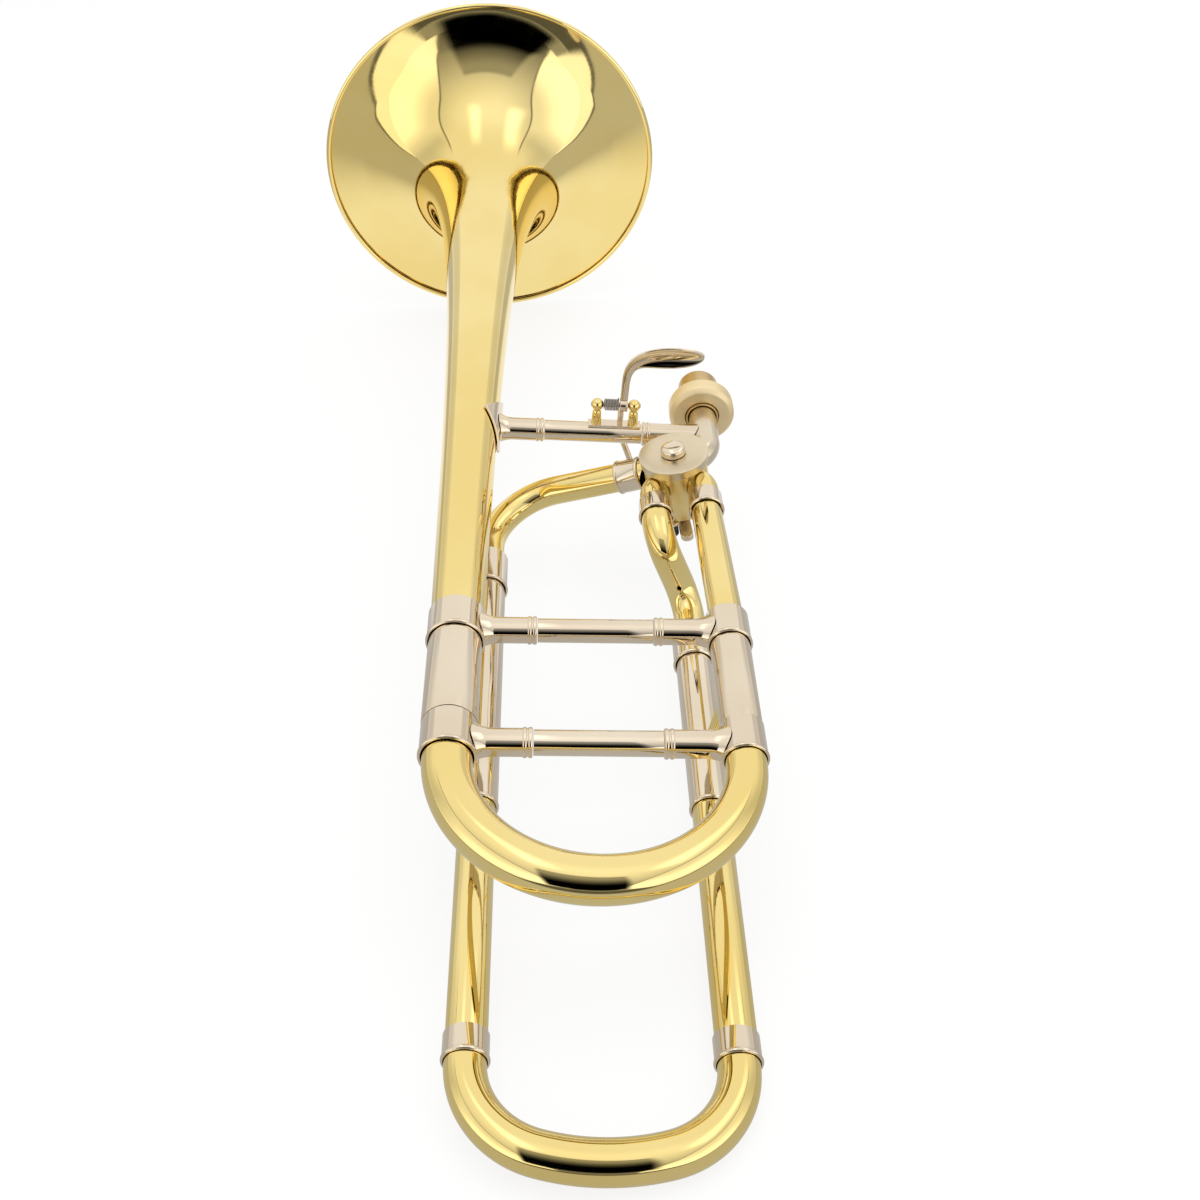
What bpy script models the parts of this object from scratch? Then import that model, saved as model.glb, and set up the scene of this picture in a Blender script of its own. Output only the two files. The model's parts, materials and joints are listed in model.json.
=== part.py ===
# Bell section of a tenor trombone with an open-wrap F attachment, modelled piece by piece.
# Metres. While it is built, the bell's axis is +Y with the mouth at Y = 0, X = 0 is the bell
# side, and +Z is the side of the thumb lever. At the end the horn leans back onto its bell
# rim and its F crook, the way it lies on a table, with +Z up and its box over the origin.

import math

import bmesh
import bpy
from mathutils import Matrix, Vector

# Fits and facets
GAP = 0.0003
FIT = 0.00045
WALL = 0.0006
LEAST_STEP = 0.00005
SEAT_REACH = 0.05
FINE = 40
ROUND = 18
SMALL = 12
TINY = 10

# Bell: its radius follows (depth + offset) ** -power from the mouth to the stem's end
BELL_RADIUS = 0.1062
BELL_OFFSET = 0.0096
BELL_POWER = 0.578
BELL_STEM_END = 0.4620
RIM_CURL = 0.0013
RIM_SWEEP = math.radians(240)

# Main loop: the bell side runs at X = 0, the gooseneck side at X = LOOP_WIDTH
LOOP_WIDTH = 0.1152
STEM_FERRULE_TOP = -0.4538
STEM_FERRULE_LENGTH = 0.0170
SLEEVE_END = -0.5182
CROOK_FERRULE_LENGTH = 0.0173
BELL_SLEEVE_RADIUS = 0.01140
NECK_SLEEVE_RADIUS = 0.0085
GOOSENECK_RADIUS = 0.0071
GOOSENECK_END_RADIUS = 0.0074
CROOK_BELL_RADIUS = 0.0101
CROOK_NECK_RADIUS = 0.0080
EASE = 0.0015
FERRULE_WALL = 0.00045
BEAD_RISE = 0.00045
BEAD_HALF = 0.0008
INNER_LEG_LENGTH = 0.058

# F loop, hung under the main loop
F_LEFT = 0.0106
F_RIGHT = 0.1062
F_DROP = -0.0453
F_SLEEVE_RADIUS = 0.0084
F_TUBE_RADIUS = 0.0077
F_LEFT_SLEEVE_TOP = -0.3615
F_RIGHT_SLEEVE_TOP = -0.4120
F_TOP_FERRULE_LENGTH = 0.0225
F_TOP_FERRULE_WALL = 0.0005
F_INNER_LEG_LENGTH = 0.092
F_LEG_CLEARANCE = 0.0165
F_SLEEVE_END = F_RIGHT_SLEEVE_TOP - F_LEG_CLEARANCE - F_INNER_LEG_LENGTH
F_CROOK_BOTTOM = -0.6723
F_CROOK_BEND = 0.035
F_CROOK_STRAIGHT = 0.0116
F_FERRULE_TOP = F_CROOK_BOTTOM + F_CROOK_BEND + F_CROOK_STRAIGHT
F_FERRULE_LENGTH = 0.0105
F_CURVE_BEND = 0.030
F_CURVE_Y = -0.3145
LOOP_BEND = 0.0150
LOOP_UPPER_CORNER = -0.3870
LOOP_LOWER_CORNER = -0.3910

# Rotary valve; its shaft leans a little toward the bell
VALVE = Vector((0.1019, -0.3390, -0.0070))
VALVE_LEAN = math.radians(-10)
CASING_RADIUS = 0.0155
CASING_WALL = 0.0020
CASING_TOP = 0.0095
CASING_BOTTOM = -0.0180
CASING_FLOOR = 0.0030
PORT_BORE = 0.0060
PORT_START = 0.0054
CAP_RADIUS = 0.0170
CAP_TOP = 0.0124
CAP_PLATE = 0.0020
CAP_EDGE = 0.0010
CAP_EDGE_BREAK = 0.0003
SKIRT_WALL = 0.0008
CAP_SKIRT = 0.0045
CAP_BOSS_RADIUS = 0.0060
CAP_BOSS_NECK = 0.0040
CAP_BOSS_HEIGHT = 0.0046
ROTOR_TOP = 0.0046
ROTOR_PASSAGE = 0.0049
SHAFT_RADIUS = 0.0028
SHAFT_SCREW_LIP = 0.0008
BOSS_RADIUS = 0.0058
BOSS_LENGTH = 0.0040
BEARING_PLATE = 0.0024
NECKPIPE_X = 0.1180
GOOSENECK_X = 0.1139
LOOP_PORT_X = 0.0905
KNUCKLE_RADIUS = 0.0072
KNUCKLE_BEND = 0.0140
PORT_FERRULE_TOP = -0.3612
PORT_FERRULE_LENGTH = 0.0110
PORT_FERRULE_WALL = 0.00045
F_PORT_TURN = Vector((0.0895, -0.3310, -0.0118))
F_PORT_BEND = 0.0090
F_PORT_SET = 0.0042
F_PORT_FERRULE_LENGTH = 0.0125

# Stop work under the valve
STOP_PLATE = 0.0015
STOP_PLATE_HUB = 0.0092
STOP_PLATE_LUG = 0.0180
STOP_LUG_HALF = 0.0036
CORK_RADIUS = 0.0028
CORK_ORBIT = 0.0150
CORK_HEIGHT = 0.0058
STOP_ARM = 0.0030
STOP_ARM_HUB = 0.0052
HORN_REACH = 0.0225
HORN_HALF = 0.0031
HORN_REST = math.radians(274)
CRANK_RADIUS = 0.0070
CRANK_HALF = 0.0027
CRANK_REST = math.radians(135)
CRANK_PIN = 0.0010
CRANK_PIN_LENGTH = 0.0046
SCREW_HEAD = 0.0032
SCREW_HEAD_HEIGHT = 0.0011
ROTOR_TRAVEL = math.radians(90)

# Tenon for the hand slide, with the lock nut that turns on it
NECKPIPE_RADIUS = 0.0069
NECKPIPE_END = -0.2760
TENON_RADIUS = 0.0102
TENON_TIP = -0.2645
TENON_FLANGE = 0.0122
TENON_FLANGE_WIDTH = 0.0025
TENON_NECK = 0.0082
TENON_FIT = 0.00045
TENON_LEAD = 0.0010
TENON_TAIL = 0.0008
NUT_NEAR = -0.2935
NUT_LENGTH = 0.0120
NUT_RADIUS = 0.0166
NUT_CHAMFER = 0.0022
NUT_WALL = 0.0030
NUT_THREAD = 0.0128

# Braces and stays
BRACE_SOCKET = 0.0056
BRACE_TUBE = 0.0051
BRACE_FLARE = 0.0074
BRACE_FLARE_LENGTH = 0.0045
BRACE_FLARE_EASE = 0.0040
BRACE_SEAT_DEPTH = 0.0060
UPPER_BRACE_Y = -0.3110
UPPER_COLLARS = (0.0368, 0.0860)
MIDDLE_COLLARS = (0.0342, 0.0835)
LOWER_COLLARS = (0.0329, 0.0841)
COLLAR_STEP = 0.0022
BELL_FLANGE_LENGTH = 0.044
BELL_FLANGE_WIDTH = 0.031
BELL_FLANGE_THICKNESS = 0.0011
STAY_Y = -0.4890
STAY_RADIUS = 0.0024
STAY_FOOT = 0.0062
STAY_FOOT_RISE = 0.0004
STAY_FLARE = 0.0028
STAY_FLARE_END = 0.0060
STAY_SINK = 0.8

# Thumb lever, pivoted above the upper brace
LEVER_X = 0.0757
PIVOT_HEIGHT = 0.0168
POST_LEFT_X = 0.0627
POST_RIGHT_X = 0.0810
POST_RADIUS = 0.0021
POST_SKIRT = 0.0026
POST_SINK = 0.0004
POST_BALL = 0.0031
BASE_LENGTH = 0.0262
BASE_WIDTH = 0.0060
BASE_HEIGHT = 0.0060
PIVOT_RADIUS = 0.0011
HUB_RADIUS = 0.0032
HUB_LENGTH = 0.0038
SPRING_WIRE = 0.0006
SPRING_TURNS = 6
SPRING_RADIUS = 0.0027
SPRING_LEG = 0.0060
PADDLE_THICKNESS = 0.0014
PADDLE_DISH = 0.0022
PADDLE_WIDTH = 0.0127
PADDLE_STATIONS = (
    (0.0, -0.0010, 0.33),
    (0.0, 0.0080, 0.33),
    (0.0001, 0.0150, 0.35),
    (0.0008, 0.0200, 0.40),
    (0.0032, 0.0246, 0.55),
    (0.0080, 0.0276, 0.79),
    (0.0140, 0.0291, 0.95),
    (0.0205, 0.0297, 1.00),
    (0.0270, 0.0297, 0.93),
    (0.0320, 0.0297, 0.76),
    (0.0355, 0.0299, 0.52),
    (0.0373, 0.0300, 0.20),
)
ARM_RADIUS = 0.0016
ARM_ROOT = 0.0005
ARM_SHOULDER = 0.0060
ARM_ELBOW = 0.0240
ARM_BOW = 0.0120
ARM_SHOULDER_BEND = 0.0050
ARM_ELBOW_BEND = 0.0100
THUMB_PIN_STEM = 0.0022
THUMB_PIN_ROOT = 0.0012
THUMB_PIN_TIP = 0.0014
LEVER_DROP = 0.0445
LEVER_SET_BACK = 0.0070
LINK_X = 0.0880
LINK_ROD = 0.0013
LINK_EYE = 0.0030
LINK_EYE_WIDTH = 0.0022
LINK_RING_WALL = 0.0014
LINK_RING_PLAY = 0.0014
LINK_RING_HEIGHT = 0.0020
LINK_WELD = 0.0006

UP_Y = (-math.pi / 2, 0.0, 0.0)
UP_X = (0.0, math.pi / 2, 0.0)


def clear_scene():
    for item in list(bpy.data.objects):
        bpy.data.objects.remove(item, do_unlink=True)


def new_collection(name):
    collection = bpy.data.collections.new(name)
    bpy.context.scene.collection.children.link(collection)
    return collection


def new_material(name, colour, roughness, metallic):
    material = bpy.data.materials.new(name)
    material.use_nodes = True
    shader = material.node_tree.nodes["Principled BSDF"]
    shader.inputs["Base Color"].default_value = (*colour, 1.0)
    shader.inputs["Roughness"].default_value = roughness
    shader.inputs["Metallic"].default_value = metallic
    return material


clear_scene()
parts = new_collection("tenor_trombone_bell_section")
cutters = new_collection("cutters")
brass = new_material("lacquered_brass", (0.86, 0.58, 0.20), 0.10, 1.0)
nickel = new_material("nickel_silver", (0.78, 0.71, 0.62), 0.16, 1.0)
satin_nickel = new_material("satin_nickel", (0.74, 0.66, 0.54), 0.38, 1.0)
satin_brass = new_material("satin_brass", (0.80, 0.62, 0.36), 0.40, 1.0)
steel = new_material("spring_steel", (0.20, 0.19, 0.19), 0.35, 1.0)
cork = new_material("black_bumper", (0.03, 0.03, 0.03), 0.80, 0.0)


def new_empty(name, parent=None, location=(0.0, 0.0, 0.0), rotation=(0.0, 0.0, 0.0)):
    empty = bpy.data.objects.new(name, None)
    empty.parent = parent
    empty.location = location
    empty.rotation_euler = rotation
    parts.objects.link(empty)
    return empty


def place(item, material, parent, location=(0.0, 0.0, 0.0), rotation=(0.0, 0.0, 0.0)):
    """Put a piece in the parts collection, on its parent and in its material."""
    item.data.materials.append(material)
    item.parent = parent
    item.location = location
    item.rotation_euler = rotation
    parts.objects.link(item)
    if item.type == "MESH":
        item.data.shade_smooth()
    return item


def turned(name, profile, steps, material, parent, location=(0, 0, 0), rotation=(0, 0, 0), ring=True):
    """Revolve (radius, height) points about Z; they run down the outer side first."""
    mesh = bpy.data.meshes.new(name)
    count = len(profile)
    last = count if ring else count - 1
    edges = [(index, (index + 1) % count) for index in range(last)]
    mesh.from_pydata([(radius, 0.0, height) for radius, height in profile], edges, [])
    item = bpy.data.objects.new(name, mesh)
    screw = item.modifiers.new("turn", "SCREW")
    screw.steps = steps
    screw.render_steps = steps
    screw.use_merge_vertices = True
    screw.merge_threshold = 0.00001
    screw.use_smooth_shade = True
    return place(item, material, parent, location, rotation)


def sleeve_profile(outer, inner, top, bottom, beads=(), lower_inner=None):
    """A tube wall with raised rings at given heights, and a wider or narrower lower bore."""
    profile = [(outer, top)]
    for height in beads:
        ring = [(outer, height + BEAD_HALF), (outer + BEAD_RISE, height), (outer, height - BEAD_HALF)]
        profile += [point for point in ring if bottom < point[1] < top]
    profile.append((outer, bottom))
    if lower_inner is not None and abs(lower_inner - inner) > LEAST_STEP:
        middle = (top + bottom) / 2
        profile += [(lower_inner, bottom), (lower_inner, middle), (inner, middle)]
    else:
        profile.append((inner, bottom))
    return profile + [(inner, top)]


def ferrule(name, outer, inner, top, length, steps, parent, x, z=0.0, lower_inner=None):
    """A joint sleeve along Y, with a bead turned at its lower end."""
    profile = sleeve_profile(outer, inner, top, top - length, (top - length + BEAD_HALF,), lower_inner)
    return turned(name, profile, steps, nickel, parent, (x, 0.0, z), UP_Y)


def tube_along_y(name, outer, inner, top, bottom, steps, material, parent, x, z=0.0, beads=()):
    profile = sleeve_profile(outer, inner, top, bottom, beads)
    return turned(name, profile, steps, material, parent, (x, 0.0, z), UP_Y)


def bent_path(corners, bends, turn_step=math.radians(17)):
    """Points of a pipe run: straight lines between corners, with an arc at each bend."""
    points = [corners[0]]
    for before, corner, after, bend in zip(corners, corners[1:], corners[2:], bends):
        arrive = (corner - before).normalized()
        leave = (after - corner).normalized()
        turn = arrive.angle(leave)
        start = corner - arrive * bend * math.tan(turn / 2)
        inward = (leave - arrive * math.cos(turn)).normalized()
        centre = start + inward * bend
        axis = arrive.cross(leave).normalized()
        steps = max(3, round(turn / turn_step))
        for index in range(steps + 1):
            spin = Matrix.Rotation(turn * index / steps, 3, axis)
            points.append(centre + spin @ (start - centre))
    points.append(corners[-1])
    return points


def path_length(points):
    return sum((after - before).length for before, after in zip(points, points[1:]))


def pipe(name, points, radius, sides, material, parent, wall=None, end_radius=None):
    """A round pipe along points, hollow with open ends, or solid where it has no wall."""
    curve = bpy.data.curves.new(name, "CURVE")
    curve.dimensions = "3D"
    curve.bevel_depth = radius
    curve.bevel_resolution = sides // 2 - 2
    curve.use_fill_caps = wall is None
    spline = curve.splines.new("POLY")
    spline.points.add(len(points) - 1)
    spline.use_smooth = True
    change = (end_radius or radius) / radius - 1.0
    whole = path_length(points)
    for index, point in enumerate(points):
        spline.points[index].co = (*point, 1.0)
        spline.points[index].radius = 1.0 + change * path_length(points[:index + 1]) / whole
    item = bpy.data.objects.new(name, curve)
    if wall is not None:
        shell = item.modifiers.new("wall", "SOLIDIFY")
        shell.thickness = wall
        shell.offset = -1.0
    return place(item, material, parent)


def as_mesh(item):
    """Swap a curve object for a mesh with its caps welded, so that it can be cut."""
    view = bpy.context.evaluated_depsgraph_get()
    mesh = bpy.data.meshes.new_from_object(item.evaluated_get(view))
    work = bmesh.new()
    work.from_mesh(mesh)
    bmesh.ops.remove_doubles(work, verts=work.verts, dist=0.000002)
    work.to_mesh(mesh)
    work.free()
    name = item.name
    parent = item.parent
    matrix = item.matrix_world.copy()
    bpy.data.objects.remove(item, do_unlink=True)
    solid = bpy.data.objects.new(name, mesh)
    parts.objects.link(solid)
    solid.parent = parent
    solid.matrix_world = matrix
    solid.data.shade_smooth()
    return solid


def cylinder(name, radius, start, end, sides=24, end_radius=None):
    """A mesh cylinder or cone from one point to another."""
    mesh = bpy.data.meshes.new(name)
    work = bmesh.new()
    far = radius if end_radius is None else end_radius
    axis = Vector(end) - Vector(start)
    turn = axis.to_track_quat("Z", "Y").to_matrix().to_4x4()
    matrix = Matrix.Translation((Vector(start) + Vector(end)) / 2) @ turn
    bmesh.ops.create_cone(work, cap_ends=True, segments=sides, radius1=radius, radius2=far,
                          depth=axis.length, matrix=matrix)
    work.to_mesh(mesh)
    work.free()
    return bpy.data.objects.new(name, mesh)


def block(name, size, centre):
    mesh = bpy.data.meshes.new(name)
    work = bmesh.new()
    matrix = Matrix.Translation(centre) @ Matrix.Diagonal((*size, 1.0))
    bmesh.ops.create_cube(work, size=1.0, matrix=matrix)
    work.to_mesh(mesh)
    work.free()
    return bpy.data.objects.new(name, mesh)


def combine(item, tool, operation, parent):
    """Join a shape to a piece or cut it away; the shape stays behind as a guide."""
    if tool.name in parts.objects:
        parts.objects.unlink(tool)
    tool.parent = parent
    tool.hide_render = True
    tool.display_type = "WIRE"
    cutters.objects.link(tool)
    step = item.modifiers.new(operation.lower(), "BOOLEAN")
    step.operation = operation
    step.object = tool
    return item


def seat_on(item, radius, point, axis, parent, far_radius=None):
    """Cut a piece so that it seats round a tube or a cone, with the usual gap."""
    reach = Vector(axis) * SEAT_REACH
    near = Vector(point) - reach
    far = Vector(point) + reach
    far_radius = radius if far_radius is None else far_radius
    tool = cylinder(item.name + "_seat", radius + GAP, near, far, 36, far_radius + GAP)
    return combine(item, tool, "DIFFERENCE", parent)


def track(direction):
    return direction.to_track_quat("Z", "Y").to_euler()


def arc_points(radius, start, end, step=math.radians(24)):
    count = max(1, math.ceil((end - start) / step))
    turns = [start + (end - start) * index / count for index in range(count + 1)]
    return [(radius * math.cos(turn), radius * math.sin(turn)) for turn in turns]


def lobed_plate(name, hub, lobes, hole, thickness, material, parent, height):
    """A flat plate: a round hub with round-ended arms (angle, reach, half width)."""
    outline = []
    lobes = sorted((angle % (2 * math.pi), reach, half) for angle, reach, half in lobes)
    for index, (angle, reach, half) in enumerate(lobes):
        cos = math.cos(angle)
        sin = math.sin(angle)
        for x, y in arc_points(half, -math.pi / 2, math.pi / 2, math.radians(45)):
            x += reach - half
            outline.append((x * cos - y * sin, x * sin + y * cos))
        follower = lobes[(index + 1) % len(lobes)]
        leave = angle + math.asin(half / hub)
        arrive = follower[0] - math.asin(follower[2] / hub)
        if arrive < leave:
            arrive += 2 * math.pi
        outline += arc_points(hub, leave, arrive)
    curve = bpy.data.curves.new(name, "CURVE")
    curve.dimensions = "2D"
    curve.fill_mode = "BOTH"
    curve.extrude = thickness / 2
    for loop in (outline, arc_points(hole, 0.0, 2 * math.pi)[:-1]):
        spline = curve.splines.new("POLY")
        spline.points.add(len(loop) - 1)
        spline.use_cyclic_u = True
        for point, (x, y) in zip(spline.points, loop):
            point.co = (x, y, 0.0, 1.0)
    item = place(bpy.data.objects.new(name, curve), material, parent, (0.0, 0.0, height - thickness / 2))
    return as_mesh(item)


def bell_radius(depth):
    """Outer radius of the bell at a depth behind its mouth."""
    return BELL_RADIUS * ((depth + BELL_OFFSET) / BELL_OFFSET) ** -BELL_POWER


def make_bell(horn):
    """Flare and stem in one thin sheet, its edge rolled back over a rim wire."""
    depths = [BELL_STEM_END * (index / 12) ** 2.2 for index in range(13)]
    slope = math.atan2(BELL_POWER * BELL_RADIUS, BELL_OFFSET)
    start = math.pi / 2 + (math.pi / 2 - slope)
    centre = (BELL_RADIUS - RIM_CURL * math.cos(start), -RIM_CURL * math.sin(start))

    def curl(radius, share):
        angle = start - RIM_SWEEP * share
        return (centre[0] + radius * math.cos(angle), centre[1] + radius * math.sin(angle))

    back = [(bell_radius(depth), -depth) for depth in depths[1:]]
    front = [(bell_radius(depth) - WALL, -depth) for depth in reversed(depths[2:])]
    lip = bell_radius(depths[1]) - WALL * math.cos(slope) * 2
    front.append((lip, -depths[1] + WALL * math.sin(slope)))
    outside = [curl(RIM_CURL + WALL / 2, index / 5) for index in range(6)]
    inside = [curl(RIM_CURL - WALL / 2, 1 - index / 3) for index in range(4)]
    turned("bell", back + front + outside + inside, FINE, brass, horn, rotation=UP_Y)
    wire_radius = RIM_CURL - WALL / 2 - GAP * 1.6
    wire = [
        (centre[0] + wire_radius * math.cos(turn), centre[1] + wire_radius * math.sin(turn))
        for turn in (-math.pi * index / 2.5 for index in range(5))
    ]
    turned("bell_rim_wire", wire, FINE, steel, horn, rotation=UP_Y)


def make_main_loop(horn, slide):
    """Ferrules and sleeves of the main tuning slide, and the slide that fits them."""
    stem_inner = bell_radius(-STEM_FERRULE_TOP) + FIT
    sleeve_top = STEM_FERRULE_TOP - STEM_FERRULE_LENGTH / 2 - GAP
    ferrule("bell_stem_ferrule", stem_ferrule_radius(), stem_inner,
            STEM_FERRULE_TOP, STEM_FERRULE_LENGTH, ROUND, horn, 0.0, 0.0,
            max(stem_inner, BELL_SLEEVE_RADIUS + GAP))
    ferrule("gooseneck_ferrule", NECK_SLEEVE_RADIUS + GAP + FERRULE_WALL, GOOSENECK_END_RADIUS + FIT,
            STEM_FERRULE_TOP, STEM_FERRULE_LENGTH, ROUND, horn, LOOP_WIDTH, 0.0,
            NECK_SLEEVE_RADIUS + GAP)
    top = SLEEVE_END - GAP
    leg_end = top - CROOK_FERRULE_LENGTH / 2 + GAP
    for side, x, sleeve, crook in (
        ("bell", 0.0, BELL_SLEEVE_RADIUS, CROOK_BELL_RADIUS),
        ("gooseneck", LOOP_WIDTH, NECK_SLEEVE_RADIUS, CROOK_NECK_RADIUS),
    ):
        tube_along_y(side + "_side_sleeve", sleeve, sleeve - WALL,
                     sleeve_top, SLEEVE_END, ROUND, nickel, horn, x)
        leg = sleeve - WALL - FIT
        tube_along_y(side + "_side_inner_leg", leg, leg - WALL,
                     leg_end + INNER_LEG_LENGTH, leg_end, ROUND, nickel, slide, x)
        ferrule(side + "_side_crook_ferrule", crook_ferrule_radius(sleeve, crook), leg + GAP,
                top, CROOK_FERRULE_LENGTH, ROUND, slide, x, 0.0, crook + FIT)
    arc_top = top - CROOK_FERRULE_LENGTH
    half = LOOP_WIDTH / 2
    arc = [
        Vector((half - half * math.cos(turn), arc_top - half * math.sin(turn), 0.0))
        for turn in (math.pi * index / 15 for index in range(16))
    ]
    crook_top = leg_end - 2 * GAP
    route = [Vector((0.0, crook_top, 0.0))] + arc + [Vector((LOOP_WIDTH, crook_top, 0.0))]
    pipe("main_tuning_crook", route, CROOK_BELL_RADIUS, 16, brass, slide, WALL, CROOK_NECK_RADIUS)


def stem_ferrule_radius():
    """The stem ferrule clears the bell's stem and the sleeve below it."""
    return max(bell_radius(-STEM_FERRULE_TOP) + FIT, BELL_SLEEVE_RADIUS + GAP) + FERRULE_WALL


def crook_ferrule_radius(sleeve, crook):
    return max(sleeve - WALL, crook + FIT) + FERRULE_WALL


def brace_socket(name, collar, seat, parent, location, flare):
    """A turned brace end: two rings at its collar, a flare where it meets a tube."""
    sign = 1.0 if collar > seat else -1.0
    near = seat + sign * BRACE_FLARE_LENGTH
    profile = [(0.0, collar)]
    for step in range(2):
        ring = collar - sign * (BEAD_HALF + COLLAR_STEP * step)
        profile += [
            (BRACE_SOCKET, ring + sign * BEAD_HALF),
            (BRACE_SOCKET + BEAD_RISE, ring),
            (BRACE_SOCKET, ring - sign * BEAD_HALF),
        ]
    profile += [
        (BRACE_SOCKET, near + sign * BRACE_FLARE_EASE),
        (BRACE_SOCKET + (flare - BRACE_SOCKET) * 0.3, near),
        (flare, seat),
        (flare, seat - sign * BRACE_SEAT_DEPTH),
        (0.0, seat - sign * BRACE_SEAT_DEPTH),
    ]
    if sign < 0:
        profile.reverse()
    return turned(name, profile, TINY, nickel, parent, location, UP_X, ring=False)


def make_bell_flange(horn):
    """Diamond plate bent round the bell stem where the upper brace is soldered on."""
    mesh = bpy.data.meshes.new("bell_flange")
    work = bmesh.new()
    bmesh.ops.create_grid(work, x_segments=7, y_segments=7, size=1.0)
    for vert in work.verts:
        along = (vert.co.x + vert.co.y) / 2 * BELL_FLANGE_LENGTH / 2
        across = (vert.co.y - vert.co.x) / 2 * BELL_FLANGE_WIDTH / 2
        y = UPPER_BRACE_Y + along
        radius = bell_radius(-y) + GAP * 1.6
        turn = across / radius
        vert.co = (radius * math.cos(turn), y, radius * math.sin(turn))
    work.to_mesh(mesh)
    work.free()
    item = bpy.data.objects.new("bell_flange", mesh)
    plate = item.modifiers.new("plate", "SOLIDIFY")
    plate.thickness = BELL_FLANGE_THICKNESS
    plate.offset = 1.0
    place(item, nickel, horn)


def make_braces(horn, slide, upper):
    flange_back = bell_radius(-UPPER_BRACE_Y) + GAP * 2.6 + BELL_FLANGE_THICKNESS
    wider = bell_radius(-UPPER_BRACE_Y - BRACE_SOCKET)
    narrower = bell_radius(-UPPER_BRACE_Y + BRACE_SOCKET)
    slope = (wider - narrower) / (2 * BRACE_SOCKET) * SEAT_REACH
    make_bell_flange(horn)
    neck = math.hypot(NECKPIPE_X, port_height(NECKPIPE_X))
    left = brace_socket("upper_brace_left_socket", UPPER_COLLARS[0], flange_back,
                        upper, (0, 0, 0), BRACE_FLARE)
    seat_on(left, flange_back - slope, (0, 0, 0), (0, 1, 0), upper, flange_back + slope)
    right = brace_socket("upper_brace_right_socket", UPPER_COLLARS[1], neck - NECKPIPE_RADIUS,
                         upper, (0, 0, 0), NECKPIPE_RADIUS * 0.88)
    seat_on(right, NECKPIPE_RADIUS, (neck, 0, 0), (0, 1, 0), upper)
    middle_y = STEM_FERRULE_TOP - STEM_FERRULE_LENGTH / 2
    lower_y = SLEEVE_END - GAP - CROOK_FERRULE_LENGTH / 2
    rows = (
        ("middle_brace", horn, middle_y, MIDDLE_COLLARS,
         stem_ferrule_radius(), NECK_SLEEVE_RADIUS + GAP + FERRULE_WALL),
        ("lower_brace", slide, lower_y, LOWER_COLLARS,
         crook_ferrule_radius(BELL_SLEEVE_RADIUS, CROOK_BELL_RADIUS),
         crook_ferrule_radius(NECK_SLEEVE_RADIUS, CROOK_NECK_RADIUS)),
    )
    for name, parent, y, collars, bell_side, neck_side in rows:
        left = brace_socket(name + "_left_socket", collars[0], bell_side, parent, (0, y, 0), BRACE_FLARE)
        seat_on(left, bell_side, (0, y, 0), (0, 1, 0), parent)
        right = brace_socket(name + "_right_socket", collars[1], LOOP_WIDTH - neck_side,
                             parent, (0, y, 0), BRACE_FLARE)
        seat_on(right, neck_side, (LOOP_WIDTH, y, 0), (0, 1, 0), parent)
    for name, parent, y, collars in (
        ("upper_brace", upper, 0.0, UPPER_COLLARS),
        ("middle_brace", horn, middle_y, MIDDLE_COLLARS),
        ("lower_brace", slide, lower_y, LOWER_COLLARS),
    ):
        rod = [
            (0.0, collars[1] - GAP),
            (BRACE_TUBE, collars[1] - GAP),
            (BRACE_TUBE, collars[0] + GAP),
            (0.0, collars[0] + GAP),
        ]
        turned(name + "_tube", rod, TINY, nickel, parent, (0, y, 0), UP_X, ring=False)


def port_height(x):
    """Height of a valve port's tube at X, in the plane square to the leaning shaft."""
    return VALVE.z - math.tan(VALVE_LEAN) * (x - VALVE.x)


def port_direction(degrees):
    turn = math.radians(degrees)
    lean = Matrix.Rotation(VALVE_LEAN, 3, "Y")
    return lean @ Vector((math.cos(turn), math.sin(turn), 0.0))


def port_corner(degrees, x):
    """Where a port's own line meets the straight tube that runs along Y at X."""
    direction = port_direction(degrees)
    return VALVE + direction * ((x - VALVE.x) / direction.x)


def knuckle(name, route, bends, radius, material, horn, valve):
    """A bent port tube, cut back to the outside of the valve casing."""
    item = as_mesh(pipe(name, bent_path(route, bends), radius, SMALL, material, horn, WALL))
    reach = Vector((0.0, 0.0, SEAT_REACH))
    tool = cylinder(name + "_seat", CASING_RADIUS + GAP, -reach, reach, 32)
    return combine(item, tool, "DIFFERENCE", valve)


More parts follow.
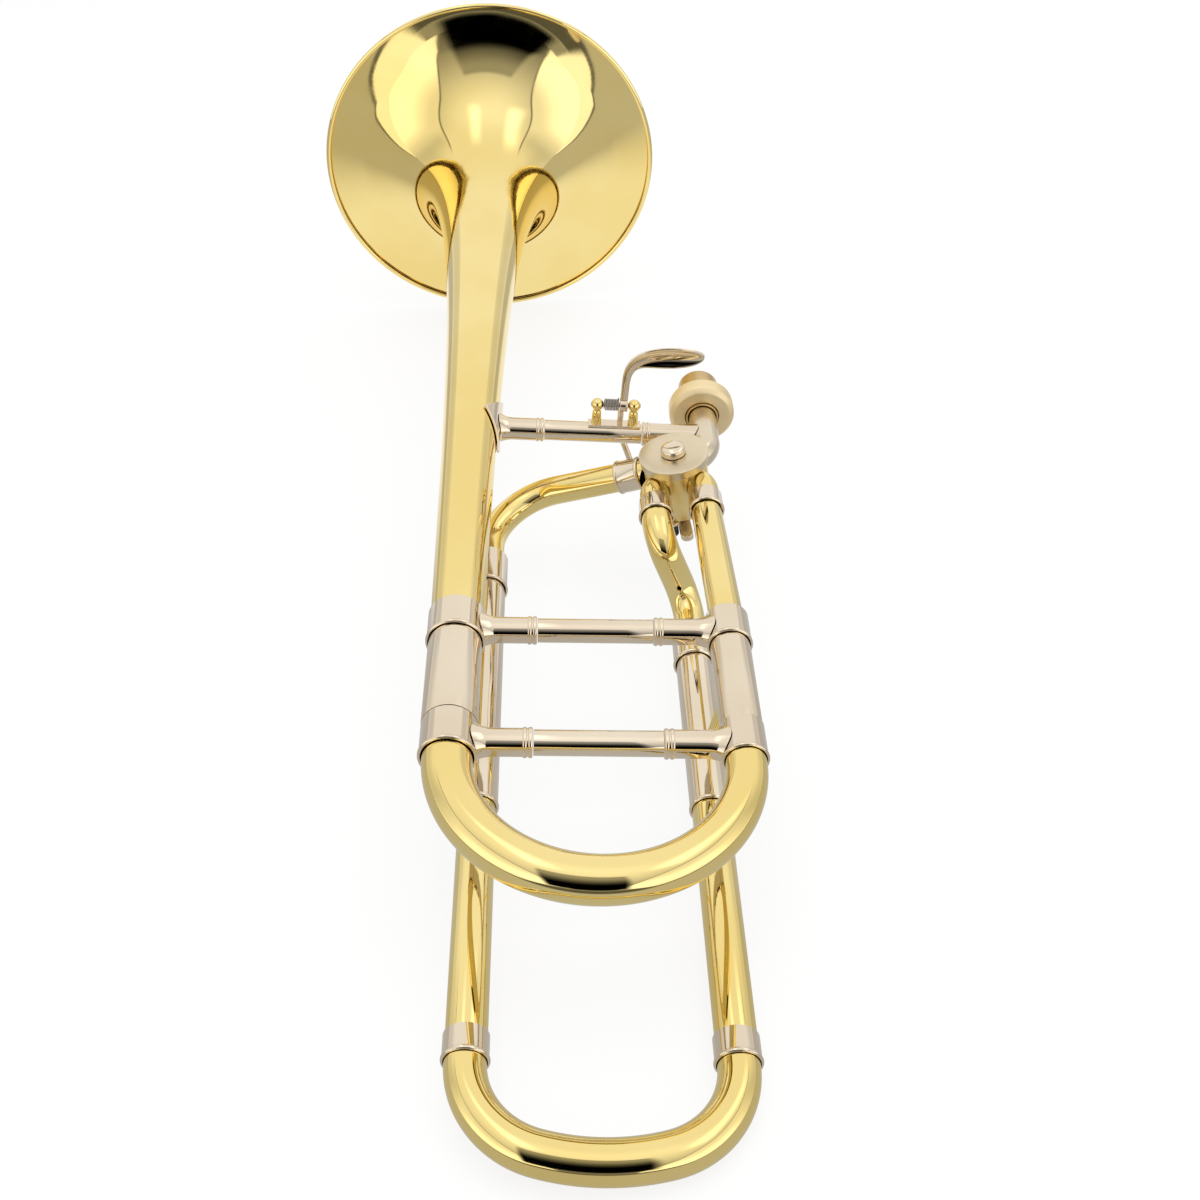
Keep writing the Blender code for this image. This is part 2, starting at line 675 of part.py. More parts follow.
def make_ports_and_tubes(horn, valve):
    """The four ports of the valve and the tubes that they feed."""
    fit = KNUCKLE_RADIUS + FIT
    ferrule_end = PORT_FERRULE_TOP - PORT_FERRULE_LENGTH
    split = PORT_FERRULE_TOP - PORT_FERRULE_LENGTH / 2

    corner = port_corner(45, NECKPIPE_X)
    start = VALVE + port_direction(45) * PORT_START
    route = [start, corner, Vector((NECKPIPE_X, NECKPIPE_END, corner.z))]
    knuckle("neckpipe", route, (KNUCKLE_BEND,), NECKPIPE_RADIUS, nickel, horn, valve)

    corner = port_corner(315, GOOSENECK_X)
    start = VALVE + port_direction(315) * PORT_START
    route = [start, corner, Vector((GOOSENECK_X, split, corner.z))]
    knuckle("gooseneck_knuckle", route, (KNUCKLE_BEND,), KNUCKLE_RADIUS, brass, horn, valve)
    ferrule("gooseneck_port_ferrule", fit + PORT_FERRULE_WALL, fit,
            PORT_FERRULE_TOP, PORT_FERRULE_LENGTH, SMALL, horn, GOOSENECK_X, corner.z)
    route = [
        Vector((GOOSENECK_X, split - GAP, corner.z)),
        Vector((GOOSENECK_X, ferrule_end - EASE, corner.z)),
        Vector((LOOP_WIDTH, STEM_FERRULE_TOP + EASE, 0.0)),
        Vector((LOOP_WIDTH, -BELL_STEM_END, 0.0)),
    ]
    pipe("gooseneck", route, GOOSENECK_RADIUS, 16, brass, horn, WALL, GOOSENECK_END_RADIUS)

    corner = port_corner(225, LOOP_PORT_X)
    start = VALVE + port_direction(225) * PORT_START
    route = [start, corner, Vector((LOOP_PORT_X, split, corner.z))]
    knuckle("loop_knuckle", route, (KNUCKLE_BEND,), KNUCKLE_RADIUS, brass, horn, valve)
    ferrule("loop_port_ferrule", fit + PORT_FERRULE_WALL, fit,
            PORT_FERRULE_TOP, PORT_FERRULE_LENGTH, SMALL, horn, LOOP_PORT_X, corner.z)
    half_ferrule = F_TOP_FERRULE_LENGTH / 2
    route = [
        Vector((LOOP_PORT_X, split - GAP, corner.z)),
        Vector((LOOP_PORT_X, LOOP_UPPER_CORNER, corner.z)),
        Vector((F_RIGHT, LOOP_LOWER_CORNER, F_DROP)),
        Vector((F_RIGHT, F_RIGHT_SLEEVE_TOP - half_ferrule + GAP, F_DROP)),
    ]
    points = bent_path(route, (LOOP_BEND, LOOP_BEND))
    pipe("loop_s_tube", points, KNUCKLE_RADIUS, SMALL, brass, horn, WALL)

    corner = Vector((F_LEFT, F_CURVE_Y, F_DROP))
    away = (corner - F_PORT_TURN).normalized()
    cuff = F_PORT_TURN + away * F_PORT_SET
    middle = cuff + away * F_PORT_FERRULE_LENGTH / 2
    route = [VALVE + port_direction(135) * PORT_START, F_PORT_TURN, middle]
    knuckle("f_port_knuckle", route, (F_PORT_BEND,), KNUCKLE_RADIUS, brass, horn, valve)
    length = F_PORT_FERRULE_LENGTH
    rings = (length - BEAD_HALF, BEAD_HALF)
    profile = sleeve_profile(fit + PORT_FERRULE_WALL, fit, length, 0.0, rings)
    turned("f_port_ferrule", profile, SMALL, nickel, horn, cuff, track(away))
    route = [
        middle + away * GAP,
        corner,
        Vector((F_LEFT, F_LEFT_SLEEVE_TOP - half_ferrule + GAP, F_DROP)),
    ]
    points = bent_path(route, (F_CURVE_BEND,))
    pipe("f_curve_tube", points, KNUCKLE_RADIUS, SMALL, brass, horn, WALL)


def make_f_loop(horn, slide):
    """Fixed sleeves of the F loop and the long tuning slide that runs in them."""
    sleeve_inner = F_SLEEVE_RADIUS - WALL
    fit = F_SLEEVE_RADIUS + GAP
    half_ferrule = F_TOP_FERRULE_LENGTH / 2
    leg_top = F_SLEEVE_END - GAP
    ferrule_middle = F_FERRULE_TOP - F_FERRULE_LENGTH / 2
    slip = sleeve_inner - FIT
    for side, x, top in (("left", F_LEFT, F_LEFT_SLEEVE_TOP), ("right", F_RIGHT, F_RIGHT_SLEEVE_TOP)):
        ferrule("f_" + side + "_top_ferrule", fit + F_TOP_FERRULE_WALL, fit,
                top, F_TOP_FERRULE_LENGTH, SMALL, horn, x, F_DROP)
        tube_along_y("f_" + side + "_sleeve", F_SLEEVE_RADIUS, sleeve_inner,
                     top - half_ferrule, F_SLEEVE_END, SMALL, nickel, horn, x, F_DROP,
                     (F_SLEEVE_END + BEAD_HALF,))
        leg = [
            (slip, leg_top + F_INNER_LEG_LENGTH),
            (slip, leg_top),
            (F_TUBE_RADIUS, leg_top),
            (F_TUBE_RADIUS, ferrule_middle + GAP),
            (slip - WALL, ferrule_middle + GAP),
            (slip - WALL, leg_top + F_INNER_LEG_LENGTH),
        ]
        turned("f_" + side + "_leg", leg, SMALL, brass, slide, (x, 0, F_DROP), UP_Y)
        ferrule("f_" + side + "_crook_ferrule", F_TUBE_RADIUS + GAP + FERRULE_WALL,
                F_TUBE_RADIUS + GAP, F_FERRULE_TOP, F_FERRULE_LENGTH, SMALL, slide, x, F_DROP)
    route = [
        Vector((F_LEFT, ferrule_middle, F_DROP)),
        Vector((F_LEFT, F_CROOK_BOTTOM, F_DROP)),
        Vector((F_RIGHT, F_CROOK_BOTTOM, F_DROP)),
        Vector((F_RIGHT, ferrule_middle, F_DROP)),
    ]
    points = bent_path(route, (F_CROOK_BEND, F_CROOK_BEND), math.radians(13))
    pipe("f_tuning_crook", points, F_TUBE_RADIUS, SMALL, brass, slide, WALL)


def make_stay(name, horn, top, top_radius, bottom, bottom_radius):
    """A short post with a trumpet foot at each end, between two parallel tubes."""
    line = bottom - top
    span = line.length
    start = top_radius * STAY_SINK
    end = span - bottom_radius * STAY_SINK
    profile = [
        (0.0, end),
        (STAY_FOOT, end),
        (STAY_FOOT, span - bottom_radius - STAY_FOOT_RISE),
        (STAY_RADIUS * 1.3, span - bottom_radius - STAY_FLARE),
        (STAY_RADIUS, span - bottom_radius - STAY_FLARE_END),
        (STAY_RADIUS, top_radius + STAY_FLARE_END),
        (STAY_RADIUS * 1.3, top_radius + STAY_FLARE),
        (STAY_FOOT, top_radius + STAY_FOOT_RISE),
        (STAY_FOOT, start),
        (0.0, start),
    ]
    item = turned(name, profile, TINY, brass, horn, top, track(line), ring=False)
    seat_on(item, top_radius, top, (0, 1, 0), horn)
    seat_on(item, bottom_radius, bottom, (0, 1, 0), horn)


def make_valve(valve):
    """Casing, bearing plate, screw cap and bearing boss of the rotary valve."""
    bore = CASING_RADIUS - CASING_WALL
    bearing = SHAFT_RADIUS + GAP
    casing = [
        (CASING_RADIUS, CASING_TOP),
        (CASING_RADIUS, CASING_BOTTOM),
        (BOSS_RADIUS, CASING_BOTTOM),
        (BOSS_RADIUS, CASING_BOTTOM - BOSS_LENGTH),
        (bearing, CASING_BOTTOM - BOSS_LENGTH),
        (bearing, CASING_BOTTOM + CASING_FLOOR),
        (bore, CASING_BOTTOM + CASING_FLOOR),
        (bore, CASING_TOP),
    ]
    item = turned("valve_casing", casing, 24, brass, valve)
    f_port = valve.matrix_world.inverted() @ F_PORT_TURN
    airways = [(name, Vector((math.cos(turn), math.sin(turn), 0.0))) for name, turn in (
        ("slide", math.radians(45)),
        ("loop", math.radians(225)),
        ("gooseneck", math.radians(315)),
    )]
    for name, way in airways + [("f", f_port.normalized())]:
        tool = cylinder("casing_port_" + name, PORT_BORE, way * PORT_START, way * CASING_RADIUS * 2, SMALL)
        combine(item, tool, "DIFFERENCE", valve)
    plate_bottom = ROTOR_TOP + GAP
    plate = sleeve_profile(bore - GAP, bearing, plate_bottom + BEARING_PLATE, plate_bottom)
    turned("valve_bearing_plate", plate, 24, satin_nickel, valve)
    under = CAP_TOP - CAP_PLATE
    skirt = CASING_RADIUS + GAP
    hole = CAP_BOSS_NECK + GAP
    cap = [
        (CAP_RADIUS - CAP_EDGE_BREAK, CAP_TOP),
        (CAP_RADIUS, CAP_TOP - CAP_EDGE_BREAK),
        (CAP_RADIUS, CAP_TOP - CAP_EDGE),
        (skirt + SKIRT_WALL, CAP_TOP - CAP_EDGE),
        (skirt + SKIRT_WALL, CAP_TOP - CAP_SKIRT),
        (skirt, CAP_TOP - CAP_SKIRT),
        (skirt, under),
        (hole, under),
        (hole, CAP_TOP),
    ]
    turned("valve_cap", cap, 24, satin_nickel, valve)
    dome = CAP_TOP + GAP
    boss = [
        (0.0, dome + CAP_BOSS_HEIGHT),
        (CAP_BOSS_RADIUS * 0.50, dome + CAP_BOSS_HEIGHT * 0.96),
        (CAP_BOSS_RADIUS * 0.82, dome + CAP_BOSS_HEIGHT * 0.84),
        (CAP_BOSS_RADIUS * 0.96, dome + CAP_BOSS_HEIGHT * 0.68),
        (CAP_BOSS_RADIUS, dome + CAP_BOSS_HEIGHT * 0.50),
        (CAP_BOSS_RADIUS, dome),
        (CAP_BOSS_NECK, dome),
        (CAP_BOSS_NECK, under),
        (0.0, under),
    ]
    turned("valve_cap_boss", boss, 16, nickel, valve, ring=False)


def make_rotor(rotor):
    """The rotor with its two curved airways, and its shaft through both bearings."""
    radius = CASING_RADIUS - CASING_WALL - GAP
    floor = CASING_BOTTOM + CASING_FLOOR + GAP
    shaft_end = CASING_BOTTOM - BOSS_LENGTH - GAP - STOP_ARM
    body = [
        (0.0, ROTOR_TOP + GAP + BEARING_PLATE),
        (SHAFT_RADIUS, ROTOR_TOP + GAP + BEARING_PLATE),
        (SHAFT_RADIUS, ROTOR_TOP),
        (radius, ROTOR_TOP),
        (radius, floor),
        (SHAFT_RADIUS, floor),
        (SHAFT_RADIUS, shaft_end),
        (0.0, shaft_end),
    ]
    item = turned("rotor", body, 24, satin_brass, rotor, ring=False)
    for side, sign in (("right", 1.0), ("left", -1.0)):
        tool = turned(
            "airway_" + side,
            [
                (radius + ROTOR_PASSAGE * math.cos(turn), ROTOR_PASSAGE * math.sin(turn))
                for turn in (-2 * math.pi * index / SMALL for index in range(SMALL))
            ],
            20, brass, rotor, (sign * radius * math.sqrt(2.0), 0.0, 0.0),
        )
        combine(item, tool, "DIFFERENCE", rotor)
    return shaft_end


def make_stop_work(valve, rotor, shaft_end):
    """Fixed plate with two bumpers, and the arm on the shaft that swings between them."""
    spread = math.asin((HORN_HALF + CORK_RADIUS + GAP) / CORK_ORBIT)
    angles = (HORN_REST - spread, HORN_REST + ROTOR_TRAVEL + spread)
    plate_top = CASING_BOTTOM - GAP
    lugs = [(angle, STOP_PLATE_LUG, STOP_LUG_HALF) for angle in angles]
    lobed_plate("stop_plate", STOP_PLATE_HUB, lugs, BOSS_RADIUS + GAP * 1.6,
                STOP_PLATE, nickel, valve, plate_top)
    cork_top = plate_top - STOP_PLATE - GAP
    for name, angle in zip(("stop_bumper_rest", "stop_bumper_pressed"), angles):
        spot = Vector((CORK_ORBIT * math.cos(angle), CORK_ORBIT * math.sin(angle), cork_top))
        bumper = cylinder(name, CORK_RADIUS, spot - Vector((0.0, 0.0, CORK_HEIGHT)), spot, TINY)
        place(bumper, cork, valve)
    arm_top = shaft_end + STOP_ARM
    lobes = [
        (HORN_REST, HORN_REACH, HORN_HALF),
        (CRANK_REST, CRANK_RADIUS + CRANK_HALF, CRANK_HALF),
    ]
    lobed_plate("stop_arm", STOP_ARM_HUB, lobes, SHAFT_RADIUS + GAP, STOP_ARM, nickel, rotor, arm_top)
    top = shaft_end - GAP
    screw = [
        (0.0, top),
        (SHAFT_RADIUS + SHAFT_SCREW_LIP, top),
        (SHAFT_RADIUS + SHAFT_SCREW_LIP / 2, top - SCREW_HEAD_HEIGHT),
        (0.0, top - SCREW_HEAD_HEIGHT * 1.3),
    ]
    turned("shaft_screw", screw, TINY, steel, rotor, ring=False)
    head = top - CRANK_PIN_LENGTH
    pin = [
        (0.0, top),
        (CRANK_PIN, top),
        (CRANK_PIN, head),
        (SCREW_HEAD, head),
        (SCREW_HEAD, head - SCREW_HEAD_HEIGHT),
        (0.0, head - SCREW_HEAD_HEIGHT),
    ]
    spot = (CRANK_RADIUS * math.cos(CRANK_REST), CRANK_RADIUS * math.sin(CRANK_REST), 0.0)
    turned("crank_screw", pin, TINY, steel, rotor, spot, ring=False)
    return top - CRANK_PIN_LENGTH / 2


def make_tenon_and_nut(horn, nut):
    """Tenon that enters the hand slide, and the captive nut that draws it home."""
    height = port_height(NECKPIPE_X)
    flange = NUT_NEAR + NUT_WALL + GAP
    tenon = [
        (TENON_RADIUS - TENON_LEAD / 2, TENON_TIP),
        (TENON_RADIUS, TENON_TIP - TENON_LEAD),
        (TENON_RADIUS, flange + TENON_FLANGE_WIDTH),
        (TENON_FLANGE, flange + TENON_FLANGE_WIDTH),
        (TENON_FLANGE, flange),
        (TENON_NECK, flange),
        (TENON_NECK, NUT_NEAR - TENON_TAIL),
        (NECKPIPE_RADIUS + TENON_FIT, NUT_NEAR - TENON_TAIL),
        (NECKPIPE_RADIUS + TENON_FIT, TENON_TIP),
    ]
    turned("slide_tenon", tenon, ROUND, satin_brass, horn, (NECKPIPE_X, 0, height), UP_Y)
    far = NUT_NEAR + NUT_LENGTH
    hole = TENON_NECK + TENON_FIT
    ring = [
        (NUT_RADIUS - NUT_CHAMFER, far),
        (NUT_RADIUS, far - NUT_CHAMFER),
        (NUT_RADIUS, NUT_NEAR + NUT_CHAMFER),
        (NUT_RADIUS - NUT_CHAMFER, NUT_NEAR),
        (hole, NUT_NEAR),
        (hole, NUT_NEAR + NUT_WALL),
        (NUT_THREAD, NUT_NEAR + NUT_WALL),
        (NUT_THREAD, far),
    ]
    turned("lock_nut", ring, 20, satin_nickel, nut, (0, 0, 0), UP_Y)


def make_lever_stand(upper):
    """Cast saddle with two ball posts, and the pivot rod through them."""
    middle = (POST_LEFT_X + POST_RIGHT_X) / 2
    low = BRACE_TUBE * 0.6
    size = (BASE_LENGTH, BASE_WIDTH, BASE_HEIGHT - low)
    saddle = block("lever_saddle", size, (middle, 0.0, (BASE_HEIGHT + low) / 2))
    place(saddle, brass, upper)
    seat_on(saddle, BRACE_TUBE, (middle, 0, 0), (1, 0, 0), upper)
    foot = BASE_HEIGHT - POST_SINK
    for x in (POST_LEFT_X, POST_RIGHT_X):
        ball = [
            (POST_BALL * math.sin(turn), PIVOT_HEIGHT + POST_BALL * math.cos(turn))
            for turn in (math.radians(26 * index) for index in range(6))
        ]
        profile = ball + [
            (POST_RADIUS * 0.85, PIVOT_HEIGHT - POST_BALL * 1.05),
            (POST_RADIUS, PIVOT_HEIGHT - POST_BALL * 1.25),
            (POST_SKIRT, foot),
            (0.0, foot),
        ]
        post = turned("saddle_post", profile, TINY, brass, upper, (x, 0, 0), ring=False)
        combine(saddle, post, "UNION", upper)
    left = Vector((POST_LEFT_X - POST_BALL * 2, 0.0, PIVOT_HEIGHT))
    right = Vector((POST_RIGHT_X + POST_BALL * 2, 0.0, PIVOT_HEIGHT))
    hole = cylinder("saddle_hole", PIVOT_RADIUS + GAP, left, right, 12)
    combine(saddle, hole, "DIFFERENCE", upper)
    rod = [
        (0.0, POST_RIGHT_X + POST_BALL),
        (PIVOT_RADIUS, POST_RIGHT_X + POST_BALL),
        (PIVOT_RADIUS, POST_LEFT_X - POST_BALL),
        (0.0, POST_LEFT_X - POST_BALL),
    ]
    turned("lever_pivot_rod", rod, 10, steel, upper, (0, 0, PIVOT_HEIGHT), UP_X, ring=False)


def make_lever_spring(upper):
    """Torsion spring wound on the pivot rod, from the left post to the lever's hub."""
    start = POST_LEFT_X + POST_BALL + GAP + SPRING_WIRE / 2
    end = LEVER_X - HUB_LENGTH / 2 - GAP - SPRING_WIRE / 2
    points = [
        Vector((start, SPRING_RADIUS, PIVOT_HEIGHT - SPRING_LEG)),
        Vector((start, SPRING_RADIUS, PIVOT_HEIGHT - SPRING_LEG / 2)),
    ]
    steps = SPRING_TURNS * 9
    for index in range(steps + 1):
        turn = 2 * math.pi * index / 9
        x = start + (end - start) * index / steps
        y = SPRING_RADIUS * math.cos(turn)
        points.append(Vector((x, y, PIVOT_HEIGHT + SPRING_RADIUS * math.sin(turn))))
    points.append(Vector((end, SPRING_RADIUS, PIVOT_HEIGHT + SPRING_LEG / 2)))
    points.append(Vector((end, SPRING_RADIUS, PIVOT_HEIGHT + SPRING_LEG)))
    pipe("lever_return_spring", points, SPRING_WIRE / 2, 6, steel, upper)
    pitch = (end - start) / SPRING_TURNS
    print("lever_return_spring least gap between turns: %.2f mm" % ((pitch - SPRING_WIRE) * 1000))


def make_thumb_lever(lever):
    """Dished paddle on a flat arm, the hub on the pivot and the bowed arm below it."""
    mesh = bpy.data.meshes.new("thumb_paddle")
    work = bmesh.new()
    rows = len(PADDLE_STATIONS) - 1
    bmesh.ops.create_grid(work, x_segments=rows, y_segments=4, size=1.0)
    for vert in work.verts:
        row = round((vert.co.x + 1) / 2 * rows)
        side = vert.co.y
        x, z, share = PADDLE_STATIONS[row]
        before = PADDLE_STATIONS[max(row - 1, 0)]
        after = PADDLE_STATIONS[min(row + 1, rows)]
        along = Vector((after[0] - before[0], 0.0, after[1] - before[1])).normalized()
        normal = Vector((-along.z, 0.0, along.x))
        dish = PADDLE_DISH * (share * side) ** 2
        vert.co = Vector((x, -dish, z)) + normal * side * PADDLE_WIDTH * share / 2
    work.to_mesh(mesh)
    work.free()
    paddle = bpy.data.objects.new("thumb_paddle", mesh)
    plate = paddle.modifiers.new("plate", "SOLIDIFY")
    plate.thickness = PADDLE_THICKNESS
    plate.offset = 0.0
    half = Vector((HUB_LENGTH / 2, 0.0, 0.0))
    hub = place(cylinder("thumb_lever", HUB_RADIUS, -half, half, 16), nickel, lever)
    combine(hub, paddle, "UNION", lever)
    eye = Vector((LINK_X - LEVER_X, LEVER_SET_BACK, -LEVER_DROP))
    tail = eye - Vector((LINK_EYE_WIDTH / 2 + THUMB_PIN_STEM, 0.0, 0.0))
    corners = [
        Vector((0.0, 0.0, -ARM_ROOT)),
        Vector((0.0, ARM_BOW, -ARM_SHOULDER)),
        Vector((0.0, ARM_BOW, -ARM_ELBOW)),
        tail,
    ]
    points = bent_path(corners, (ARM_SHOULDER_BEND, ARM_ELBOW_BEND), math.radians(22))
    arm = as_mesh(pipe("thumb_arm", points, ARM_RADIUS, 8, nickel, lever))
    combine(hub, arm, "UNION", lever)
    pin_end = eye + Vector((LINK_EYE_WIDTH / 2 + THUMB_PIN_TIP, 0.0, 0.0))
    pin = cylinder("thumb_pin", PIVOT_RADIUS, tail - Vector((THUMB_PIN_ROOT, 0.0, 0.0)), pin_end, 12)
    combine(hub, pin, "UNION", lever)
    hole = cylinder("thumb_hole", PIVOT_RADIUS + GAP, -half * 2, half * 2, 12)
    combine(hub, hole, "DIFFERENCE", lever)


def make_link(link, ring_centre, ring_axis):
    """Link rod: an eye on the lever's pin, and a ring round the crank screw."""
    half = Vector((LINK_EYE_WIDTH / 2, 0.0, 0.0))
    item = place(cylinder("link_rod", LINK_EYE, -half, half, 16), nickel, link)
    way = ring_centre.normalized()
    ring_outer = CRANK_PIN + LINK_RING_PLAY + LINK_RING_WALL
    near = way * (LINK_EYE - LINK_WELD)
    far = ring_centre - way * (ring_outer - LINK_WELD)
    rod = cylinder("link_rod_shank", LINK_ROD, near, far, 10)
    combine(item, rod, "UNION", link)
    lift = ring_axis * LINK_RING_HEIGHT / 2
    ring = cylinder("link_rod_ring", ring_outer, ring_centre - lift, ring_centre + lift, 20)
    combine(item, ring, "UNION", link)
    bottom = ring_centre - lift * 2
    top = ring_centre + lift * 2
    hole = cylinder("link_rod_ring_hole", CRANK_PIN + LINK_RING_PLAY, bottom, top, 16)
    combine(item, hole, "DIFFERENCE", link)
    eye = cylinder("link_rod_eye_hole", PIVOT_RADIUS + GAP, -half * 2, half * 2, 12)
    combine(item, eye, "DIFFERENCE", link)


def weigh():
    """Every vertex of the finished pieces, and the centre of their volume."""
    view = bpy.context.evaluated_depsgraph_get()
    spots = []
    centre = Vector()
    whole = 0.0
    for item in parts.objects:
        if item.type == "EMPTY":
            continue
        solid = item.evaluated_get(view)
        mesh = solid.to_mesh()
        mesh.calc_loop_triangles()
        world = [solid.matrix_world @ vert.co for vert in mesh.vertices]
        for triangle in mesh.loop_triangles:
            first, second, third = (world[index] for index in triangle.vertices)
            volume = first.dot(second.cross(third)) / 6
            centre += (first + second + third) / 4 * volume
            whole += volume
        spots += world
        solid.to_mesh_clear()
    return spots, centre / whole


def under(face, point):
    """Whether a point, dropped square onto a face of the hull, lands inside it."""
    corners = [vert.co for vert in face.verts]
    return all(
        (after - before).cross(point - before).dot(face.normal) > 0
        for before, after in zip(corners, corners[1:] + corners[:1])
    )


def lie_down(horn):
    """Turn the horn onto the points that carry its weight, with its box over the origin."""
    spots, centre = weigh()
    hull = bmesh.new()
    for spot in spots:
        hull.verts.new(spot)
    bmesh.ops.convex_hull(hull, input=hull.verts)
    bmesh.ops.recalc_face_normals(hull, faces=hull.faces)
    carriers = [face for face in hull.faces if under(face, centre)]
    down = min(carriers, key=lambda face: face.normal.z).normal.copy()
    hull.free()
    turn = down.rotation_difference(Vector((0.0, 0.0, -1.0))).to_matrix()
    horn.rotation_euler = turn.to_euler()
    turned_spots = [turn @ spot for spot in spots]
    low = Vector(min(spot[axis] for spot in turned_spots) for axis in range(3))
    high = Vector(max(spot[axis] for spot in turned_spots) for axis in range(3))
    horn.location = (-(low.x + high.x) / 2, -(low.y + high.y) / 2, -low.z)
    bpy.context.view_layer.update()


def build():
    horn = new_empty("horn")
    main_slide = new_empty("main_tuning_slide", horn, (LOOP_WIDTH / 2, SLEEVE_END, 0.0))
    f_slide = new_empty("f_tuning_slide", horn, ((F_LEFT + F_RIGHT) / 2, F_SLEEVE_END, F_DROP))
    slides = []
    for slide in (main_slide, f_slide):
        rest = new_empty(slide.name + "_rest", slide, -slide.location)
        slides.append(rest)
    valve = new_empty("valve_axis", horn, VALVE, (0.0, VALVE_LEAN, 0.0))
    rotor = new_empty("rotor_axis", valve)
    nut = new_empty("lock_nut_axis", horn, (NECKPIPE_X, 0.0, port_height(NECKPIPE_X)))
    brace_drop = math.atan2(-port_height(NECKPIPE_X), NECKPIPE_X)
    upper = new_empty("upper_brace_axis", horn, (0.0, UPPER_BRACE_Y, 0.0), (0.0, brace_drop, 0.0))
    lever = new_empty("lever_pivot", upper, (LEVER_X, 0.0, PIVOT_HEIGHT))
    link_eye = Vector((LINK_X - LEVER_X, LEVER_SET_BACK, -LEVER_DROP))
    link = new_empty("link_pivot", lever, link_eye)
    bpy.context.view_layer.update()

    make_bell(horn)
    make_main_loop(horn, slides[0])
    make_braces(horn, slides[0], upper)
    make_ports_and_tubes(horn, valve)
    make_f_loop(horn, slides[1])
    f_sleeves = (Vector((F_LEFT, STAY_Y, F_DROP)), Vector((F_RIGHT, STAY_Y, F_DROP)))
    make_stay("left_stay", horn, Vector((0.0, STAY_Y, 0.0)), BELL_SLEEVE_RADIUS,
              f_sleeves[0], F_SLEEVE_RADIUS)
    make_stay("right_stay", horn, Vector((LOOP_WIDTH, STAY_Y, 0.0)), NECK_SLEEVE_RADIUS,
              f_sleeves[1], F_SLEEVE_RADIUS)
    make_valve(valve)
    shaft_end = make_rotor(rotor)
    pin_height = make_stop_work(valve, rotor, shaft_end)
    make_tenon_and_nut(horn, nut)
    make_lever_stand(upper)
    make_lever_spring(upper)
    make_thumb_lever(lever)

    swing = CRANK_RADIUS * (1 - abs(math.cos(CRANK_REST))) / 2
    crank_x = CRANK_RADIUS * math.cos(CRANK_REST) - swing
    crank = Vector((crank_x, CRANK_RADIUS * math.sin(CRANK_REST), pin_height))
    to_link = link.matrix_world.inverted()
    centre = to_link @ (valve.matrix_world @ crank)
    axis = (to_link.to_3x3() @ valve.matrix_world.to_3x3() @ Vector((0.0, 0.0, 1.0))).normalized()
    make_link(link, centre, axis)
    lie_down(horn)


build()
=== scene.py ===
import json
from math import asin, atan2, ceil, copysign, cos, hypot, pi, radians, sin, sqrt, tan, tau

import bmesh
import bpy
from mathutils import Euler, Matrix, Vector


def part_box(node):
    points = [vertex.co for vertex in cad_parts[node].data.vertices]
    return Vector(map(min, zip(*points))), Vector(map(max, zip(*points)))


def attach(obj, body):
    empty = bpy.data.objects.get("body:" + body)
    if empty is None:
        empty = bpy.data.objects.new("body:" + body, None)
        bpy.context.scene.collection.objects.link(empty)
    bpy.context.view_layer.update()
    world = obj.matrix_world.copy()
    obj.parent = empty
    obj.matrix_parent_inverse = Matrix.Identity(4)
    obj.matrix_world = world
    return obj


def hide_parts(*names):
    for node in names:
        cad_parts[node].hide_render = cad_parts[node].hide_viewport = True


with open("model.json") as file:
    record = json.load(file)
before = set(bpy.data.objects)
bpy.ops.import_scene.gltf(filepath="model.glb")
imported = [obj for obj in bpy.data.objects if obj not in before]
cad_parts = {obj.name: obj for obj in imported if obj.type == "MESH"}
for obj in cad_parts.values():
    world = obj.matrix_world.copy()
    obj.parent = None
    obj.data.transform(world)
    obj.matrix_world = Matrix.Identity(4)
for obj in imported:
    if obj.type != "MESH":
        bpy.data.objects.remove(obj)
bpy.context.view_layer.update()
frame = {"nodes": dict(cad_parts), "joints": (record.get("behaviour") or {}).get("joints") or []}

# The horn's own axes: Y runs from the crooks to the bell's mouth, X from the bell side to
# the gooseneck side, Z to the thumb lever. The horn rests on its bell rim and F crook, so
# these axes are read from the slide that travels along Y and its two straight legs.
RIM_CENTRE_Y = -0.001284


def middle_of(node):
    low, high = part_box(node)
    return (low + high) / 2


slide_joint = next(joint for joint in frame["joints"] if joint["name"] == "main_tuning_slide_travel")
axis_y = -Vector(slide_joint["axis"]).normalized()
axis_x = middle_of("gooseneck_side_inner_leg") - middle_of("bell_side_inner_leg")
axis_x = (axis_x - axis_y * axis_x.dot(axis_y)).normalized()
axis_z = axis_x.cross(axis_y)
LYING = Matrix((axis_x, axis_y, axis_z)).transposed().to_4x4()
LYING.translation = middle_of("bell_rim_wire") - axis_y * RIM_CENTRE_Y
ALONG_Y = Matrix.Rotation(radians(-90), 4, "X")
ALONG_X = Matrix.Rotation(radians(90), 4, "Y")


def at(x, y, z):
    return Matrix.Translation((x, y, z))


def facing(spot, way):
    """A place at a spot whose Z points along a way."""
    return Matrix.Translation(spot) @ way.to_track_quat("Z", "Y").to_matrix().to_4x4()


